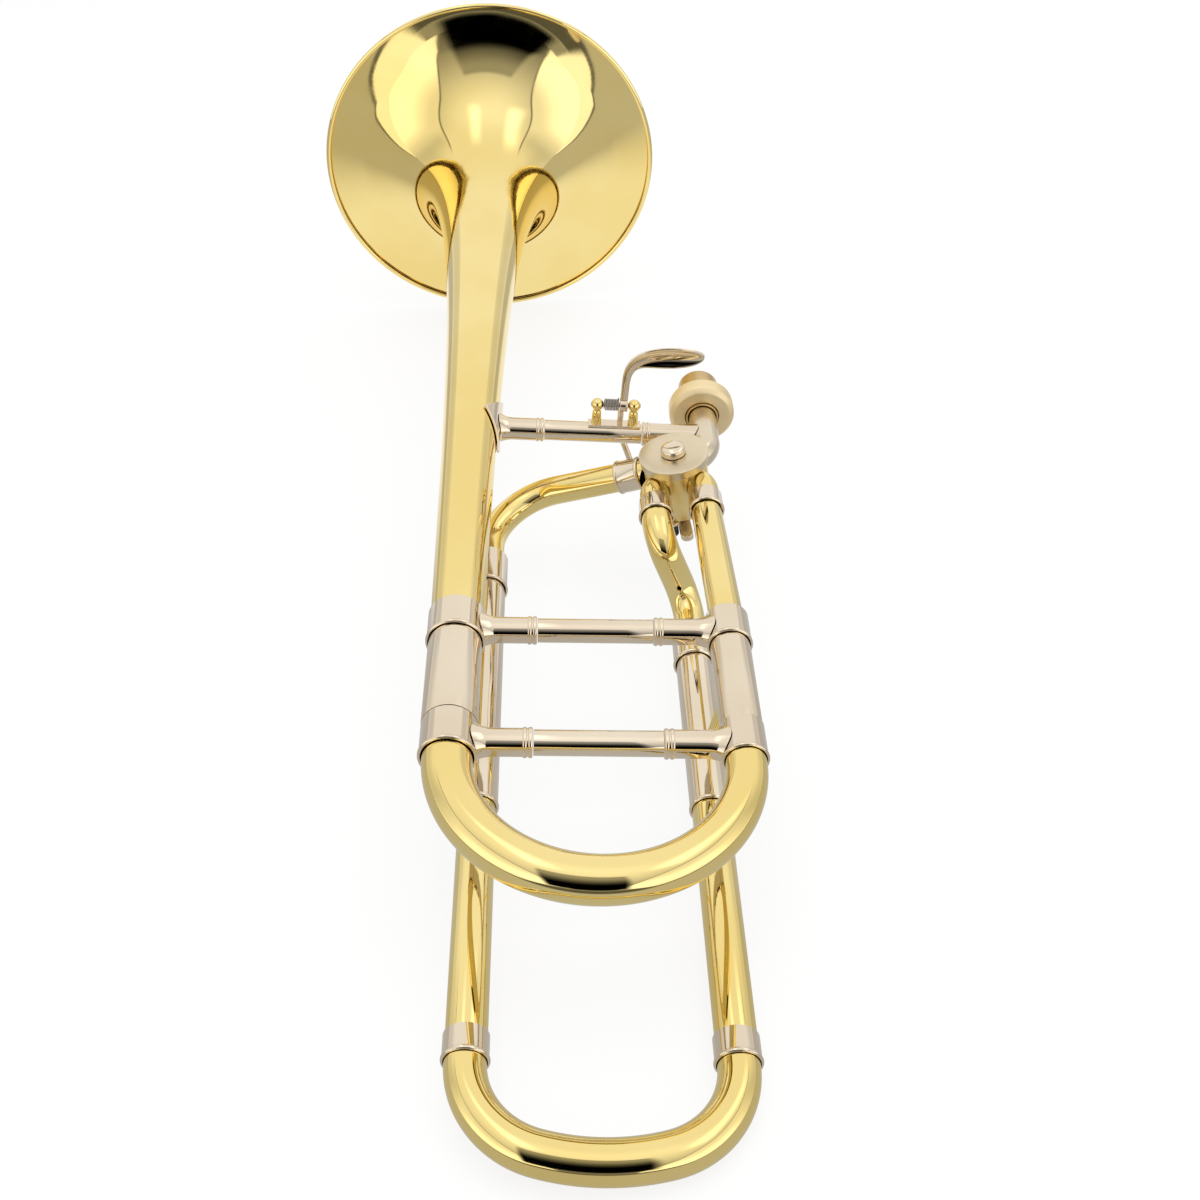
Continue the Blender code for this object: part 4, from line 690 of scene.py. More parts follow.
port_split = PORT_FERRULE_TOP - PORT_FERRULE_LENGTH / 2
knuckle_fit = KNUCKLE_RADIUS + FIT
satin_neckpipe = polished_metal(
    "drawn_nickel_silver", (0.82, 0.73, 0.58), (0.74, 0.64, 0.48), 0.16, 0.10, 0.00003
)
straight_port("neckpipe", 45, NECKPIPE_X, NECKPIPE_END, NECKPIPE_RADIUS, satin_neckpipe)
run_z = straight_port("gooseneck_knuckle", 315, GOOSENECK_X, port_split)
port_ferrule("gooseneck_port_ferrule", GOOSENECK_X, run_z)
gooseneck_route = bent_route([
    (GOOSENECK_X, port_split - GAP, run_z),
    (GOOSENECK_X, PORT_FERRULE_TOP - PORT_FERRULE_LENGTH - EASE, run_z),
    (LOOP_WIDTH, STEM_FERRULE_TOP + EASE, 0.0),
    (LOOP_WIDTH, -BELL_STEM_END, 0.0),
], (GOOSENECK_BEND, GOOSENECK_BEND))
brass_tube("gooseneck", "horn", gooseneck_route, GOOSENECK_RADIUS, GOOSENECK_END_RADIUS)
run_z = straight_port("loop_knuckle", 225, LOOP_PORT_X, port_split)
port_ferrule("loop_port_ferrule", LOOP_PORT_X, run_z)
half_top_ferrule = F_TOP_FERRULE_LENGTH / 2
s_route = bent_route([
    (LOOP_PORT_X, port_split - GAP, run_z),
    (LOOP_PORT_X, LOOP_UPPER_CORNER, run_z),
    (F_RIGHT, LOOP_LOWER_CORNER, F_DROP),
    (F_RIGHT, F_RIGHT_SLEEVE_TOP - half_top_ferrule + GAP, F_DROP),
], (LOOP_BEND, LOOP_BEND))
brass_tube("loop_s_tube", "horn", s_route, KNUCKLE_RADIUS)
f_corner = Vector((F_LEFT, F_CURVE_Y, F_DROP))
f_away = (f_corner - F_PORT_TURN).normalized()
f_cuff = F_PORT_TURN + f_away * F_PORT_SET
f_cuff_middle = f_cuff + f_away * F_PORT_FERRULE_LENGTH / 2
knuckle("f_port_knuckle", 135, [F_PORT_TURN, f_cuff_middle], F_PORT_BEND)
f_cuff_outline = sleeve_points(knuckle_fit + PORT_FERRULE_WALL, knuckle_fit, F_PORT_FERRULE_LENGTH, 0.0,
                               (F_PORT_FERRULE_LENGTH - BEAD_SET, BEAD_SET))
turned_piece("nickel_f_port_ferrule", f_cuff_outline, FERRULE_SIDES, TUBE_EDGE, facing(f_cuff, f_away),
             nickel_silver, "horn", "f_port_ferrule", corner=STEEP)
f_curve_end = (F_LEFT, F_LEFT_SLEEVE_TOP - half_top_ferrule + GAP, F_DROP)
f_route = bent_route([f_cuff_middle + f_away * GAP, f_corner, f_curve_end], (F_CURVE_BEND,))
brass_tube("f_curve_tube", "horn", f_route, KNUCKLE_RADIUS)

# The F loop: two nickel silver sleeves under the main loop, and the long brass tuning
# slide that runs in them, its legs joined by beaded ferrules to a crook with a gentle bow.
F_SLEEVE_RADIUS = 0.0084
F_TUBE_RADIUS = 0.0077
F_TOP_FERRULE_WALL = 0.0005
F_SLEEVE_END = -0.5205
F_FERRULE_TOP = -0.6257
F_FERRULE_LENGTH = 0.0105
F_CROOK_BOTTOM = -0.6723
F_CROOK_BEND = 0.034
F_CROOK_BOW = radians(15)
F_INNER_LEG_LENGTH = 0.092
f_sleeve_inner = F_SLEEVE_RADIUS - SHEET
f_fit = F_SLEEVE_RADIUS + GAP
f_leg_bottom = F_SLEEVE_END - GAP
f_leg_top = f_leg_bottom + F_INNER_LEG_LENGTH
f_ferrule_middle = F_FERRULE_TOP - F_FERRULE_LENGTH / 2
slip = f_sleeve_inner - FIT
for side, x, top in (("left", F_LEFT, F_LEFT_SLEEVE_TOP), ("right", F_RIGHT, F_RIGHT_SLEEVE_TOP)):
    ferrule_along_y("f_" + side + "_top_ferrule", f_fit + F_TOP_FERRULE_WALL, f_fit,
                    top, F_TOP_FERRULE_LENGTH, "horn", x, F_DROP)
    tube_along_y("f_" + side + "_sleeve", F_SLEEVE_RADIUS, f_sleeve_inner, top - half_top_ferrule, F_SLEEVE_END,
                 "horn", x, F_DROP, (F_SLEEVE_END + BEAD_SET,))
    turned_piece("brass_f_" + side + "_leg", [
        (slip, f_leg_top),
        (slip, f_leg_bottom),
        (F_TUBE_RADIUS, f_leg_bottom),
        (F_TUBE_RADIUS, f_ferrule_middle + GAP),
        (slip - SHEET, f_ferrule_middle + GAP),
        (slip - SHEET, f_leg_top),
    ], FERRULE_SIDES, TUBE_EDGE, at(x, 0, F_DROP) @ ALONG_Y, lacquered_brass,
        "f_tuning_slide", "f_" + side + "_leg", corner=STEEP)
    ferrule_along_y("f_" + side + "_crook_ferrule", F_TUBE_RADIUS + GAP + FERRULE_WALL, F_TUBE_RADIUS + GAP,
                    F_FERRULE_TOP, F_FERRULE_LENGTH, "f_tuning_slide", x, F_DROP)
f_middle = (F_LEFT + F_RIGHT) / 2
f_half = (F_RIGHT - F_LEFT) / 2
bow_radius = (f_half - F_CROOK_BEND) / sin(F_CROOK_BOW) + F_CROOK_BEND
corner_y = F_CROOK_BOTTOM + bow_radius - (bow_radius - F_CROOK_BEND) * cos(F_CROOK_BOW)
half_crook = [(f_half, f_ferrule_middle)]
for turn in turns(pi / 2 - F_CROOK_BOW, 20):
    half_crook.append((f_half - F_CROOK_BEND * (1 - cos(turn)), corner_y - F_CROOK_BEND * sin(turn)))
for index in range(1, 9):
    turn = F_CROOK_BOW * (1 - index / 8)
    half_crook.append((bow_radius * sin(turn), F_CROOK_BOTTOM + bow_radius * (1 - cos(turn))))
f_crook_route = [Vector((f_middle - x, y, F_DROP)) for x, y in half_crook]
f_crook_route += [Vector((f_middle + x, y, F_DROP)) for x, y in reversed(half_crook[:-1])]
brass_tube("f_tuning_crook", "f_tuning_slide", f_crook_route, F_TUBE_RADIUS, sides=80)

# Two brass stays hold the F sleeves under the main sleeves: a turned post with a trumpet
# foot at each end, filed to both tubes and soldered.
STAY_Y = -0.4890
STAY_RADIUS = 0.0024
STAY_FOOT = 0.0062
STAY_FOOT_LENGTH = 0.0060
STAY_CURVE = 2.4
for side, top_x, top_radius, bottom_x in (
    ("left", 0.0, BELL_SLEEVE_RADIUS, F_LEFT),
    ("right", LOOP_WIDTH, NECK_SLEEVE_RADIUS, F_RIGHT),
):
    top = Vector((top_x, STAY_Y, 0.0))
    line = Vector((bottom_x, STAY_Y, F_DROP)) - top
    ends = (top_radius + GAP, line.length - F_SLEEVE_RADIUS - GAP)
    near = []
    far = []
    for index in range(13):
        radius = STAY_RADIUS + (STAY_FOOT - STAY_RADIUS) * (1 - index / 12) ** STAY_CURVE
        near.append((radius, ends[0] + STAY_FOOT_LENGTH * index / 12))
        far.append((radius, ends[1] - STAY_FOOT_LENGTH * index / 12))
    lower_cap = [(STAY_FOOT * share, ends[0]) for share in reversed(FOOT_RINGS)]
    upper_cap = [(STAY_FOOT * share, ends[1]) for share in FOOT_RINGS]
    stay = turn_on_lathe(lower_cap + near + far[::-1] + upper_cap, SMALL)
    file_to_tube(stay, ends[0], -STAY_FOOT_LENGTH, top_radius + GAP)
    file_to_tube(stay, ends[1], STAY_FOOT_LENGTH, F_SLEEVE_RADIUS + GAP)
    z_way = line.normalized()
    y_way = Vector((0.0, 1.0, 0.0))
    place = Matrix((y_way.cross(z_way), y_way, z_way)).transposed().to_4x4()
    place.translation = top
    finish_piece("brass_" + side + "_stay", outward(stay), place, lacquered_brass, "horn", side + "_stay")

# The stop work under the valve: a nickel silver plate clamped on the lower boss with two
# cork-hard black bumpers, and the arm on the shaft that swings between them.
STOP_PLATE = 0.0015
STOP_PLATE_HUB = 0.0092
STOP_PLATE_LUG = 0.0180
STOP_LUG_HALF = 0.0036
CORK_RADIUS = 0.0028
CORK_ORBIT = 0.0150
CORK_HEIGHT = 0.0058
STOP_ARM = 0.0030
STOP_ARM_HUB = 0.0052
HORN_REACH = 0.0225
HORN_HALF = 0.0031
HORN_REST = radians(274)
CRANK_RADIUS = 0.0070
CRANK_HALF = 0.0027
CRANK_REST = radians(135)
CRANK_PIN = 0.0010
CRANK_PIN_LENGTH = 0.0046
SCREW_HEAD = 0.0032
SCREW_HEAD_HEIGHT = 0.0011
SCREW_SLOT = 0.0008
SHAFT_SCREW_LIP = 0.0008
ROTOR_TRAVEL = radians(90)


def arc_points(radius, start, end, step=radians(6)):
    sweep = end - start
    bearings = [start + turn for turn in turns(sweep, max(1, ceil(sweep / step)))]
    return [(radius * cos(bearing), radius * sin(bearing)) for bearing in bearings]


def raised_face(work, faces, height):
    """Extrude faces and lift the new ones along Z; gives their vertices."""
    verts = verts_in(bmesh.ops.extrude_face_region(work, geom=faces)["geom"])
    bmesh.ops.translate(work, vec=(0, 0, height), verts=verts)
    return verts


def sawn_plate(hub, lobes, hole, thickness, height, rounding):
    """Saw a plate from sheet: a hub with round-ended arms (angle, reach, half width)."""
    outline = []
    lobes = sorted((angle % tau, reach, half) for angle, reach, half in lobes)
    for index, (angle, reach, half) in enumerate(lobes):
        spin = Matrix.Rotation(angle, 2)
        outline += [spin @ Vector((x + reach - half, y)) for x, y in arc_points(half, -pi / 2, pi / 2)]
        follower = lobes[(index + 1) % len(lobes)]
        leave = angle + asin(half / hub)
        arrive = follower[0] - asin(follower[2] / hub)
        if arrive < leave:
            arrive += tau
        outline += arc_points(hub, leave, arrive)
    work = bmesh.new()
    rims = []
    for loop in (outline, arc_points(hole, 0.0, tau)[:-1]):
        verts = [work.verts.new((*point, height - thickness)) for point in loop]
        rims += [work.edges.new((verts[index - 1], verts[index])) for index in range(len(verts))]
    bmesh.ops.triangle_fill(work, edges=rims, use_beauty=True)
    raised_face(work, work.faces[:], thickness)
    outward(work)
    bmesh.ops.dissolve_limit(work, angle_limit=radians(1), verts=work.verts, edges=work.edges)
    break_edges(work, rounding, CAST_CORNER)
    return work


def slotted_head(radius, top, height, shank, shank_top):
    """A cheese-head screw turned in steel, with its driver slot sawn across the head."""
    outline = [(0.0, shank_top), (shank, shank_top), (shank, top), (radius, top)]
    outline += [(radius * cos(turn), top - height * (0.55 + 0.45 * sin(turn))) for turn in turns(pi / 2, 8)]
    work = turn_on_lathe(outline, SMALL)
    for side in (-SCREW_SLOT / 2, SCREW_SLOT / 2):
        bmesh.ops.bisect_plane(work, geom=work.verts[:] + work.edges[:] + work.faces[:],
                               plane_co=(side, 0, 0), plane_no=(1, 0, 0))
    inside = []
    for face in work.faces:
        middle = face.calc_center_median()
        if abs(middle.x) < SCREW_SLOT / 2 and middle.z < top - height / 2 and face.normal.z < -0.3:
            inside.append(face)
    sunk = bmesh.ops.extrude_face_region(work, geom=inside)["geom"]
    bmesh.ops.delete(work, geom=inside, context="FACES")
    bmesh.ops.translate(work, vec=(0, 0, height * 0.45), verts=verts_in(sunk))
    return outward(work)


spread = asin((HORN_HALF + CORK_RADIUS + GAP) / CORK_ORBIT)
bumper_angles = (HORN_REST - spread, HORN_REST + ROTOR_TRAVEL + spread)
plate_top = CASING_BOTTOM - GAP
stop_plate = sawn_plate(STOP_PLATE_HUB, [(angle, STOP_PLATE_LUG, STOP_LUG_HALF) for angle in bumper_angles],
                        BOSS_RADIUS + GAP * 1.6, STOP_PLATE, plate_top, FINE_EDGE)
finish_piece("nickel_stop_plate", stop_plate, VALVE_PLACE, nickel_silver, "horn", "stop_plate")
bumper_rubber, rubber, spot = new_finish("black_bumper")
grains = add_node(rubber, "TexVoronoi", {"Vector": spot, "Scale": 1400.0}).outputs["Distance"]
grain_tint = tint_of(rubber, grains, (0.012, 0.011, 0.010), (0.050, 0.044, 0.038))
coat(rubber, 0.0, grain_tint, 0.85, grains, 0.5, 0.0001)
bumper_top = plate_top - STOP_PLATE - GAP
for node, angle in zip(("stop_bumper_rest", "stop_bumper_pressed"), bumper_angles):
    place = VALVE_PLACE @ at(CORK_ORBIT * cos(angle), CORK_ORBIT * sin(angle), 0)
    outline = rod_points(CORK_RADIUS, bumper_top, bumper_top - CORK_HEIGHT)
    turned_piece("black_" + node, outline, SLIM, SOFT_EDGE, place, bumper_rubber, "horn", node)
arm_top = boss_bottom - GAP
stop_arm = sawn_plate(STOP_ARM_HUB, [
    (HORN_REST, HORN_REACH, HORN_HALF), (CRANK_REST, CRANK_RADIUS + CRANK_HALF, CRANK_HALF),
], SHAFT_RADIUS + GAP, STOP_ARM, arm_top, SOFT_EDGE)
finish_piece("nickel_stop_arm", stop_arm, VALVE_PLACE, satin_nickel, "rotor", "stop_arm")
screw_top = arm_top - STOP_ARM - GAP
crank_x = CRANK_RADIUS * cos(CRANK_REST)
crank_y = CRANK_RADIUS * sin(CRANK_REST)
shaft_screw = slotted_head(SHAFT_RADIUS + SHAFT_SCREW_LIP, screw_top, SCREW_HEAD_HEIGHT * 1.3,
                           SHAFT_RADIUS, screw_top)
finish_piece("steel_shaft_screw", shaft_screw, VALVE_PLACE, spring_steel, "rotor", "shaft_screw")
crank_screw = slotted_head(SCREW_HEAD, screw_top - CRANK_PIN_LENGTH, SCREW_HEAD_HEIGHT, CRANK_PIN, screw_top)
finish_piece("steel_crank_screw", crank_screw, VALVE_PLACE @ at(crank_x, crank_y, 0), spring_steel,
             "rotor", "crank_screw")

# The hand slide's end of the horn: a brass tenon on the neckpipe, and the captive lock
# nut of satin nickel silver that turns round it and draws the hand slide home.
TENON_RADIUS = 0.0102
TENON_TIP = -0.2645
TENON_FLANGE = 0.0122
TENON_FLANGE_WIDTH = 0.0025
TENON_NECK = 0.0082
NUT_NEAR = -0.2935
NUT_LENGTH = 0.0120
NUT_RADIUS = 0.0166
NUT_CHAMFER = 0.0022
NUT_WALL = 0.0030
NUT_THREAD = 0.0128
NUT_PLACE = at(NECKPIPE_X, 0, port_height(NECKPIPE_X)) @ ALONG_Y
tenon_satin = lathe_faced_metal(
    "satin_brass_tenon", (0.78, 0.57, 0.27), (0.66, 0.45, 0.19), 0.36, 0.00002, NUT_PLACE
)
nut_satin = lathe_faced_metal(
    "satin_nickel_nut", (0.94, 0.79, 0.50), (0.88, 0.70, 0.40), 0.46, 0.00002, NUT_PLACE
)
tenon_flange = NUT_NEAR + NUT_WALL + GAP
tenon_end = NUT_NEAR - 0.0008
tenon_bore = NECKPIPE_RADIUS + GAP * 1.5
turned_piece("satin_slide_tenon", [
    (TENON_RADIUS - 0.0005, TENON_TIP),
    (TENON_RADIUS, TENON_TIP - 0.0010),
    (TENON_RADIUS, tenon_flange + TENON_FLANGE_WIDTH),
    (TENON_FLANGE, tenon_flange + TENON_FLANGE_WIDTH),
    (TENON_FLANGE, tenon_flange),
    (TENON_NECK, tenon_flange),
    (TENON_NECK, tenon_end),
    (tenon_bore, tenon_end),
    (tenon_bore, TENON_TIP),
], ROUND, FINE_EDGE, NUT_PLACE, tenon_satin, "horn", "slide_tenon")
nut_far = NUT_NEAR + NUT_LENGTH
nut_hole = TENON_NECK + GAP * 1.5
turned_piece("satin_lock_nut", [
    (NUT_RADIUS - NUT_CHAMFER, nut_far),
    (NUT_RADIUS, nut_far - NUT_CHAMFER),
    (NUT_RADIUS, NUT_NEAR + NUT_CHAMFER),
    (NUT_RADIUS - NUT_CHAMFER, NUT_NEAR),
    (nut_hole, NUT_NEAR),
    (nut_hole, NUT_NEAR + NUT_WALL),
    (NUT_THREAD, NUT_NEAR + NUT_WALL),
    (NUT_THREAD, nut_far),
], FINE, SOFT_EDGE, NUT_PLACE, nut_satin, "lock_nut", "lock_nut")

# The lever's stand: a nickel silver saddle soldered on the upper brace, with two ball-topped
# brass posts that carry the steel pivot rod.
LEVER_X = 0.0757
PIVOT_HEIGHT = 0.0168
POST_LEFT_X = 0.0627
POST_RIGHT_X = 0.0810
POST_RADIUS = 0.0021
POST_SKIRT = 0.0026
POST_BALL = 0.0031
BASE_LENGTH = 0.0262
BASE_WIDTH = 0.0060
BASE_HEIGHT = 0.0060
PIVOT_RADIUS = 0.0011
SADDLE_CELLS = 16
saddle_seat = BRACE_TUBE + GAP
saddle = bmesh.new()
bmesh.ops.create_grid(saddle, x_segments=2, y_segments=SADDLE_CELLS, size=1.0)
for vert in saddle.verts:
    turn = vert.co.y * asin(BASE_WIDTH / 2 / saddle_seat)
    vert.co = ((POST_LEFT_X + POST_RIGHT_X) / 2 + vert.co.x * BASE_LENGTH / 2,
               saddle_seat * sin(turn), saddle_seat * cos(turn))
for vert in raised_face(saddle, saddle.faces[:], 0.0):
    vert.co.z = BASE_HEIGHT
outward(saddle)
break_edges(saddle, WORN_EDGE, CAST_CORNER)
finish_piece("cast_lever_saddle", saddle, UPPER_PLACE, nickel_silver, "horn", "lever_saddle")
ball = turns(radians(140), 20)
post_outline = [(POST_BALL * sin(turn), PIVOT_HEIGHT + POST_BALL * cos(turn)) for turn in ball]
post_outline += [
    (POST_RADIUS * 0.85, PIVOT_HEIGHT - POST_BALL * 1.05),
    (POST_RADIUS * 0.88, PIVOT_HEIGHT - POST_BALL * 1.12),
    (POST_RADIUS, PIVOT_HEIGHT - POST_BALL * 1.25),
    (POST_SKIRT, BASE_HEIGHT + 0.0002),
    (POST_SKIRT, BASE_HEIGHT - 0.0003),
    (0.0, BASE_HEIGHT - 0.0003),
]
for side, x in (("left", POST_LEFT_X), ("right", POST_RIGHT_X)):
    finish_piece("turned_" + side + "_post", turn_on_lathe(post_outline, SLIM), UPPER_PLACE @ at(x, 0, 0),
                 lacquered_brass, "horn")
rod = rod_points(PIVOT_RADIUS, POST_RIGHT_X + POST_BALL, POST_LEFT_X - POST_BALL)
turned_piece("steel_pivot_rod", rod, TINY, FINE_EDGE, UPPER_PLACE @ at(0, 0, PIVOT_HEIGHT) @ ALONG_X,
             spring_steel, "horn", "lever_pivot_rod")

# The lever's return spring: steel wire wound round the pivot rod, one tail against the
# left post and one against the lever's hub.
HUB_RADIUS = 0.0032
HUB_LENGTH = 0.0038
SPRING_WIRE = 0.0006
SPRING_TURNS = 9
SPRING_RADIUS = 0.0027
SPRING_TAILS = (-0.0042, -0.0010, 0.0010, 0.0024)
TURN_POINTS = 28
spring_start = POST_LEFT_X + POST_BALL + GAP + SPRING_WIRE / 2
spring_end = LEVER_X - HUB_LENGTH / 2 - GAP - SPRING_WIRE / 2
spring_steps = SPRING_TURNS * TURN_POINTS
coil = [Vector((spring_start, SPRING_RADIUS, PIVOT_HEIGHT + tail)) for tail in SPRING_TAILS[:2]]
for index in range(spring_steps + 1):
    turn = tau * index / TURN_POINTS
    x = spring_start + (spring_end - spring_start) * index / spring_steps
    coil.append(Vector((x, SPRING_RADIUS * cos(turn), PIVOT_HEIGHT + SPRING_RADIUS * sin(turn))))
coil += [Vector((spring_end, SPRING_RADIUS, PIVOT_HEIGHT + tail)) for tail in SPRING_TAILS[2:]]
finish_piece("steel_lever_spring", draw_skin(coil, SPRING_WIRE / 2, 14, capped=True), UPPER_PLACE,
             spring_steel, "horn", "lever_return_spring")

# The thumb lever: a dished paddle of nickel silver sheet, a drilled barrel on the pivot
# rod, and a bowed rod soldered under it that ends in the link's pin.
PADDLE_THICKNESS = 0.0014
PADDLE_DISH = 0.0022
PADDLE_ACROSS = 6
ARM_RADIUS = 0.0016
ARM_BOW = 0.0120
LEVER_DROP = 0.0445
LEVER_SET_BACK = 0.0070
LINK_X = 0.0880
LINK_EYE = 0.0030
LINK_EYE_WIDTH = 0.0022
PADDLE_STATIONS = (
    (0.0, -0.0010, 0.0042),
    (0.0, 0.0080, 0.0042),
    (0.0001, 0.0150, 0.0044),
    (0.0008, 0.0200, 0.0050),
    (0.0032, 0.0246, 0.0070),
    (0.0080, 0.0276, 0.0100),
    (0.0140, 0.0291, 0.0121),
    (0.0205, 0.0297, 0.0127),
    (0.0270, 0.0297, 0.0118),
    (0.0320, 0.0297, 0.0097),
    (0.0355, 0.0299, 0.0066),
    (0.0373, 0.0300, 0.0026),
)
LEVER_PLACE = UPPER_PLACE @ at(LEVER_X, 0, PIVOT_HEIGHT)
last_station = len(PADDLE_STATIONS) - 1
widest = max(width for x, z, width in PADDLE_STATIONS)
paddle = bmesh.new()
bmesh.ops.create_grid(paddle, x_segments=last_station, y_segments=PADDLE_ACROSS, size=1.0)
for vert in paddle.verts:
    row = round((vert.co.x + 1) / 2 * last_station)
    side = vert.co.y
    x, z, width = PADDLE_STATIONS[row]
    before = PADDLE_STATIONS[max(row - 1, 0)]
    after = PADDLE_STATIONS[min(row + 1, last_station)]
    along = Vector((after[0] - before[0], 0.0, after[1] - before[1])).normalized()
    dish = (width / widest) ** 2 * PADDLE_DISH * side ** 2
    vert.co = Vector((x, -dish, z)) + Vector((-along.z, 0.0, along.x)) * side * width / 2
face_outward(paddle, 1)
bmesh.ops.translate(paddle, vec=(0, PADDLE_THICKNESS / 2, 0), verts=paddle.verts)
give_wall(paddle, PADDLE_THICKNESS)
lever_paddle = finish_piece("nickel_lever_paddle", paddle, LEVER_PLACE, nickel_silver,
                            "thumb_lever", "thumb_lever")
rounder = lever_paddle.modifiers.new("soft_sheet", "SUBSURF")
rounder.levels = 3
rounder.render_levels = 3
turned_piece("nickel_lever_hub", sleeve_points(HUB_RADIUS, PIVOT_RADIUS + GAP, HUB_LENGTH / 2, -HUB_LENGTH / 2),
             SMALL, WORN_EDGE, LEVER_PLACE @ ALONG_X, nickel_silver, "thumb_lever")
arm_tail = (LINK_X - LEVER_X - LINK_EYE_WIDTH / 2 - 0.0022, LEVER_SET_BACK, -LEVER_DROP)
arm_route = bent_route(
    [(0.0, 0.0020, -0.0026), (0.0, ARM_BOW, -0.0060), (0.0, ARM_BOW, -0.0240), arm_tail], (0.005, 0.010)
)
finish_piece("nickel_lever_arm", draw_skin(arm_route, ARM_RADIUS, TINY, capped=True), LEVER_PLACE,
             nickel_silver, "thumb_lever")
pin = rod_points(PIVOT_RADIUS, LINK_X - LEVER_X + LINK_EYE_WIDTH / 2 + 0.0014, arm_tail[0] - 0.0012)
pin_place = LEVER_PLACE @ at(0, LEVER_SET_BACK, -LEVER_DROP) @ ALONG_X
turned_piece("steel_lever_pin", pin, TINY, FINE_EDGE, pin_place, spring_steel, "thumb_lever")

# The link: a nickel silver rod with an eye that turns on the lever's pin, and a ring
# round the crank screw that leaves it room to swing.
LINK_ROD = 0.0013
LINK_RING_WALL = 0.0014
LINK_RING_PLAY = 0.0014
LINK_RING_HEIGHT = 0.0020
LINK_SINK = 0.0005
LINK_PLACE = LEVER_PLACE @ at(LINK_X - LEVER_X, LEVER_SET_BACK, -LEVER_DROP)
crank_swing = CRANK_RADIUS * (1 - abs(cos(CRANK_REST))) / 2
to_link = LINK_PLACE.inverted() @ VALVE_PLACE
ring_centre = to_link @ Vector((crank_x - crank_swing, crank_y, screw_top - CRANK_PIN_LENGTH / 2))
ring_axis = (to_link.to_3x3() @ Vector((0.0, 0.0, 1.0))).normalized()
ring_inner = CRANK_PIN + LINK_RING_PLAY
ring_outer = ring_inner + LINK_RING_WALL
link_way = ring_centre.normalized()
eye = sleeve_points(LINK_EYE, PIVOT_RADIUS + GAP, LINK_EYE_WIDTH / 2, -LINK_EYE_WIDTH / 2)
turned_piece("nickel_link_eye", eye, SMALL, WORN_EDGE, LINK_PLACE @ ALONG_X, nickel_silver, "link", "link_rod")
shank_route = [
    link_way * (LINK_EYE - LINK_SINK), ring_centre / 2, ring_centre - link_way * (ring_outer - LINK_SINK)
]
finish_piece("nickel_link_shank", draw_skin(shank_route, LINK_ROD, TINY, capped=True), LINK_PLACE,
             nickel_silver, "link")
ring = sleeve_points(ring_outer, ring_inner, LINK_RING_HEIGHT / 2, -LINK_RING_HEIGHT / 2)
turned_piece("nickel_link_ring", ring, SMALL, WORN_EDGE, LINK_PLACE @ facing(ring_centre, ring_axis),
             nickel_silver, "link")

# The floor of the studio: white paper, which the camera sees as one even white. To glossy rays the
# paper shows a painted reflection instead: it glows as a table with a painted bright pool by the bell's
# foot, its front edge as a painted dark line and a painted dark gap between it and the tent.
WHITE = (1.0, 1.0, 1.0, 1.0)
FLOOR_RADIUS = 3.0
PAPER_TONE = 0.74
PAPER_ROUGHNESS = 0.9
# Levels of the painted reflection, a glow that only glossy rays see on the paper; its table edge and gap are
# painted dark.
PAINTED_TABLE_GLOW = 0.52
BELL_FOOT_Y = 0.30
PAINTED_BELL_FOOT_GLOW = 1.0
PAINTED_PAST_TABLE_GLOW = 1.30
PAINTED_TABLE_EDGE_SHADE = 0.10
PAINTED_FRONT_GLOW = 0.30
PAINTED_GAP_SHADE = 0.04
PAINTED_REFLECTION_SHARE = 0.92
SEEN_LIGHT = 1.04
SEEN_SHARE = 0.80


def worked_out(operation, first, second):
    """Two numbers or sockets, one at least a socket, put through one Math node."""
    tree = (first if isinstance(first, bpy.types.NodeSocket) else second).id_data
    return add_node(tree, "Math", {0: first, 1: second}, operation=operation).outputs["Value"]


def plus(first, second):
    return worked_out("ADD", first, second)


def minus(first, second):
    return worked_out("SUBTRACT", first, second)


def times(first, second):
    return worked_out("MULTIPLY", first, second)


def step_up(source, start, end):
    """Goes softly from 0 to 1 as a value goes from its start to its end."""
    return add_node(source.id_data, "MapRange", {"Value": source, "From Min": start, "From Max": end},
                    interpolation_type="SMOOTHSTEP").outputs["Result"]


def between(source, low, high, soft):
    """1 where a value lies between two limits, with soft edges, otherwise 0."""
    return times(step_up(source, low - soft, low + soft), step_up(source, high + soft, high - soft))


def shifted(light, patch, change):
    """A brightness changed by so much where a patch is 1."""
    return plus(light, times(patch, change))


def blended(light, other, patch):
    """A brightness that turns into another where a patch is 1."""
    return plus(light, times(patch, minus(other, light)))


def axes_of(tree, output, names):
    """The named axes of a Texture Coordinate output."""
    place = add_node(tree, "TexCoord", {}).outputs[output]
    axes = add_node(tree, "SeparateXYZ", {"Vector": place}).outputs
    return [axes[name] for name in names]


paper = bpy.data.materials.new("white_paper")
paper.use_nodes = True
paper_tree = paper.node_tree
paper_shader = fill(paper_tree.nodes["Principled BSDF"], {
    "Roughness": PAPER_ROUGHNESS, "Base Color": (PAPER_TONE, PAPER_TONE, PAPER_TONE, 1.0),
})
floor_x, floor_y = axes_of(paper_tree, "Object", "XY")
aside = worked_out("ABSOLUTE", floor_x, 0.0)
past_table = minus(times(aside, 0.55), floor_y)
from_bell = plus(worked_out("POWER", aside, 2.0), worked_out("POWER", minus(floor_y, BELL_FOOT_Y), 2.0))
in_front = step_up(plus(aside, times(floor_y, 0.25)), 0.14, 0.08)
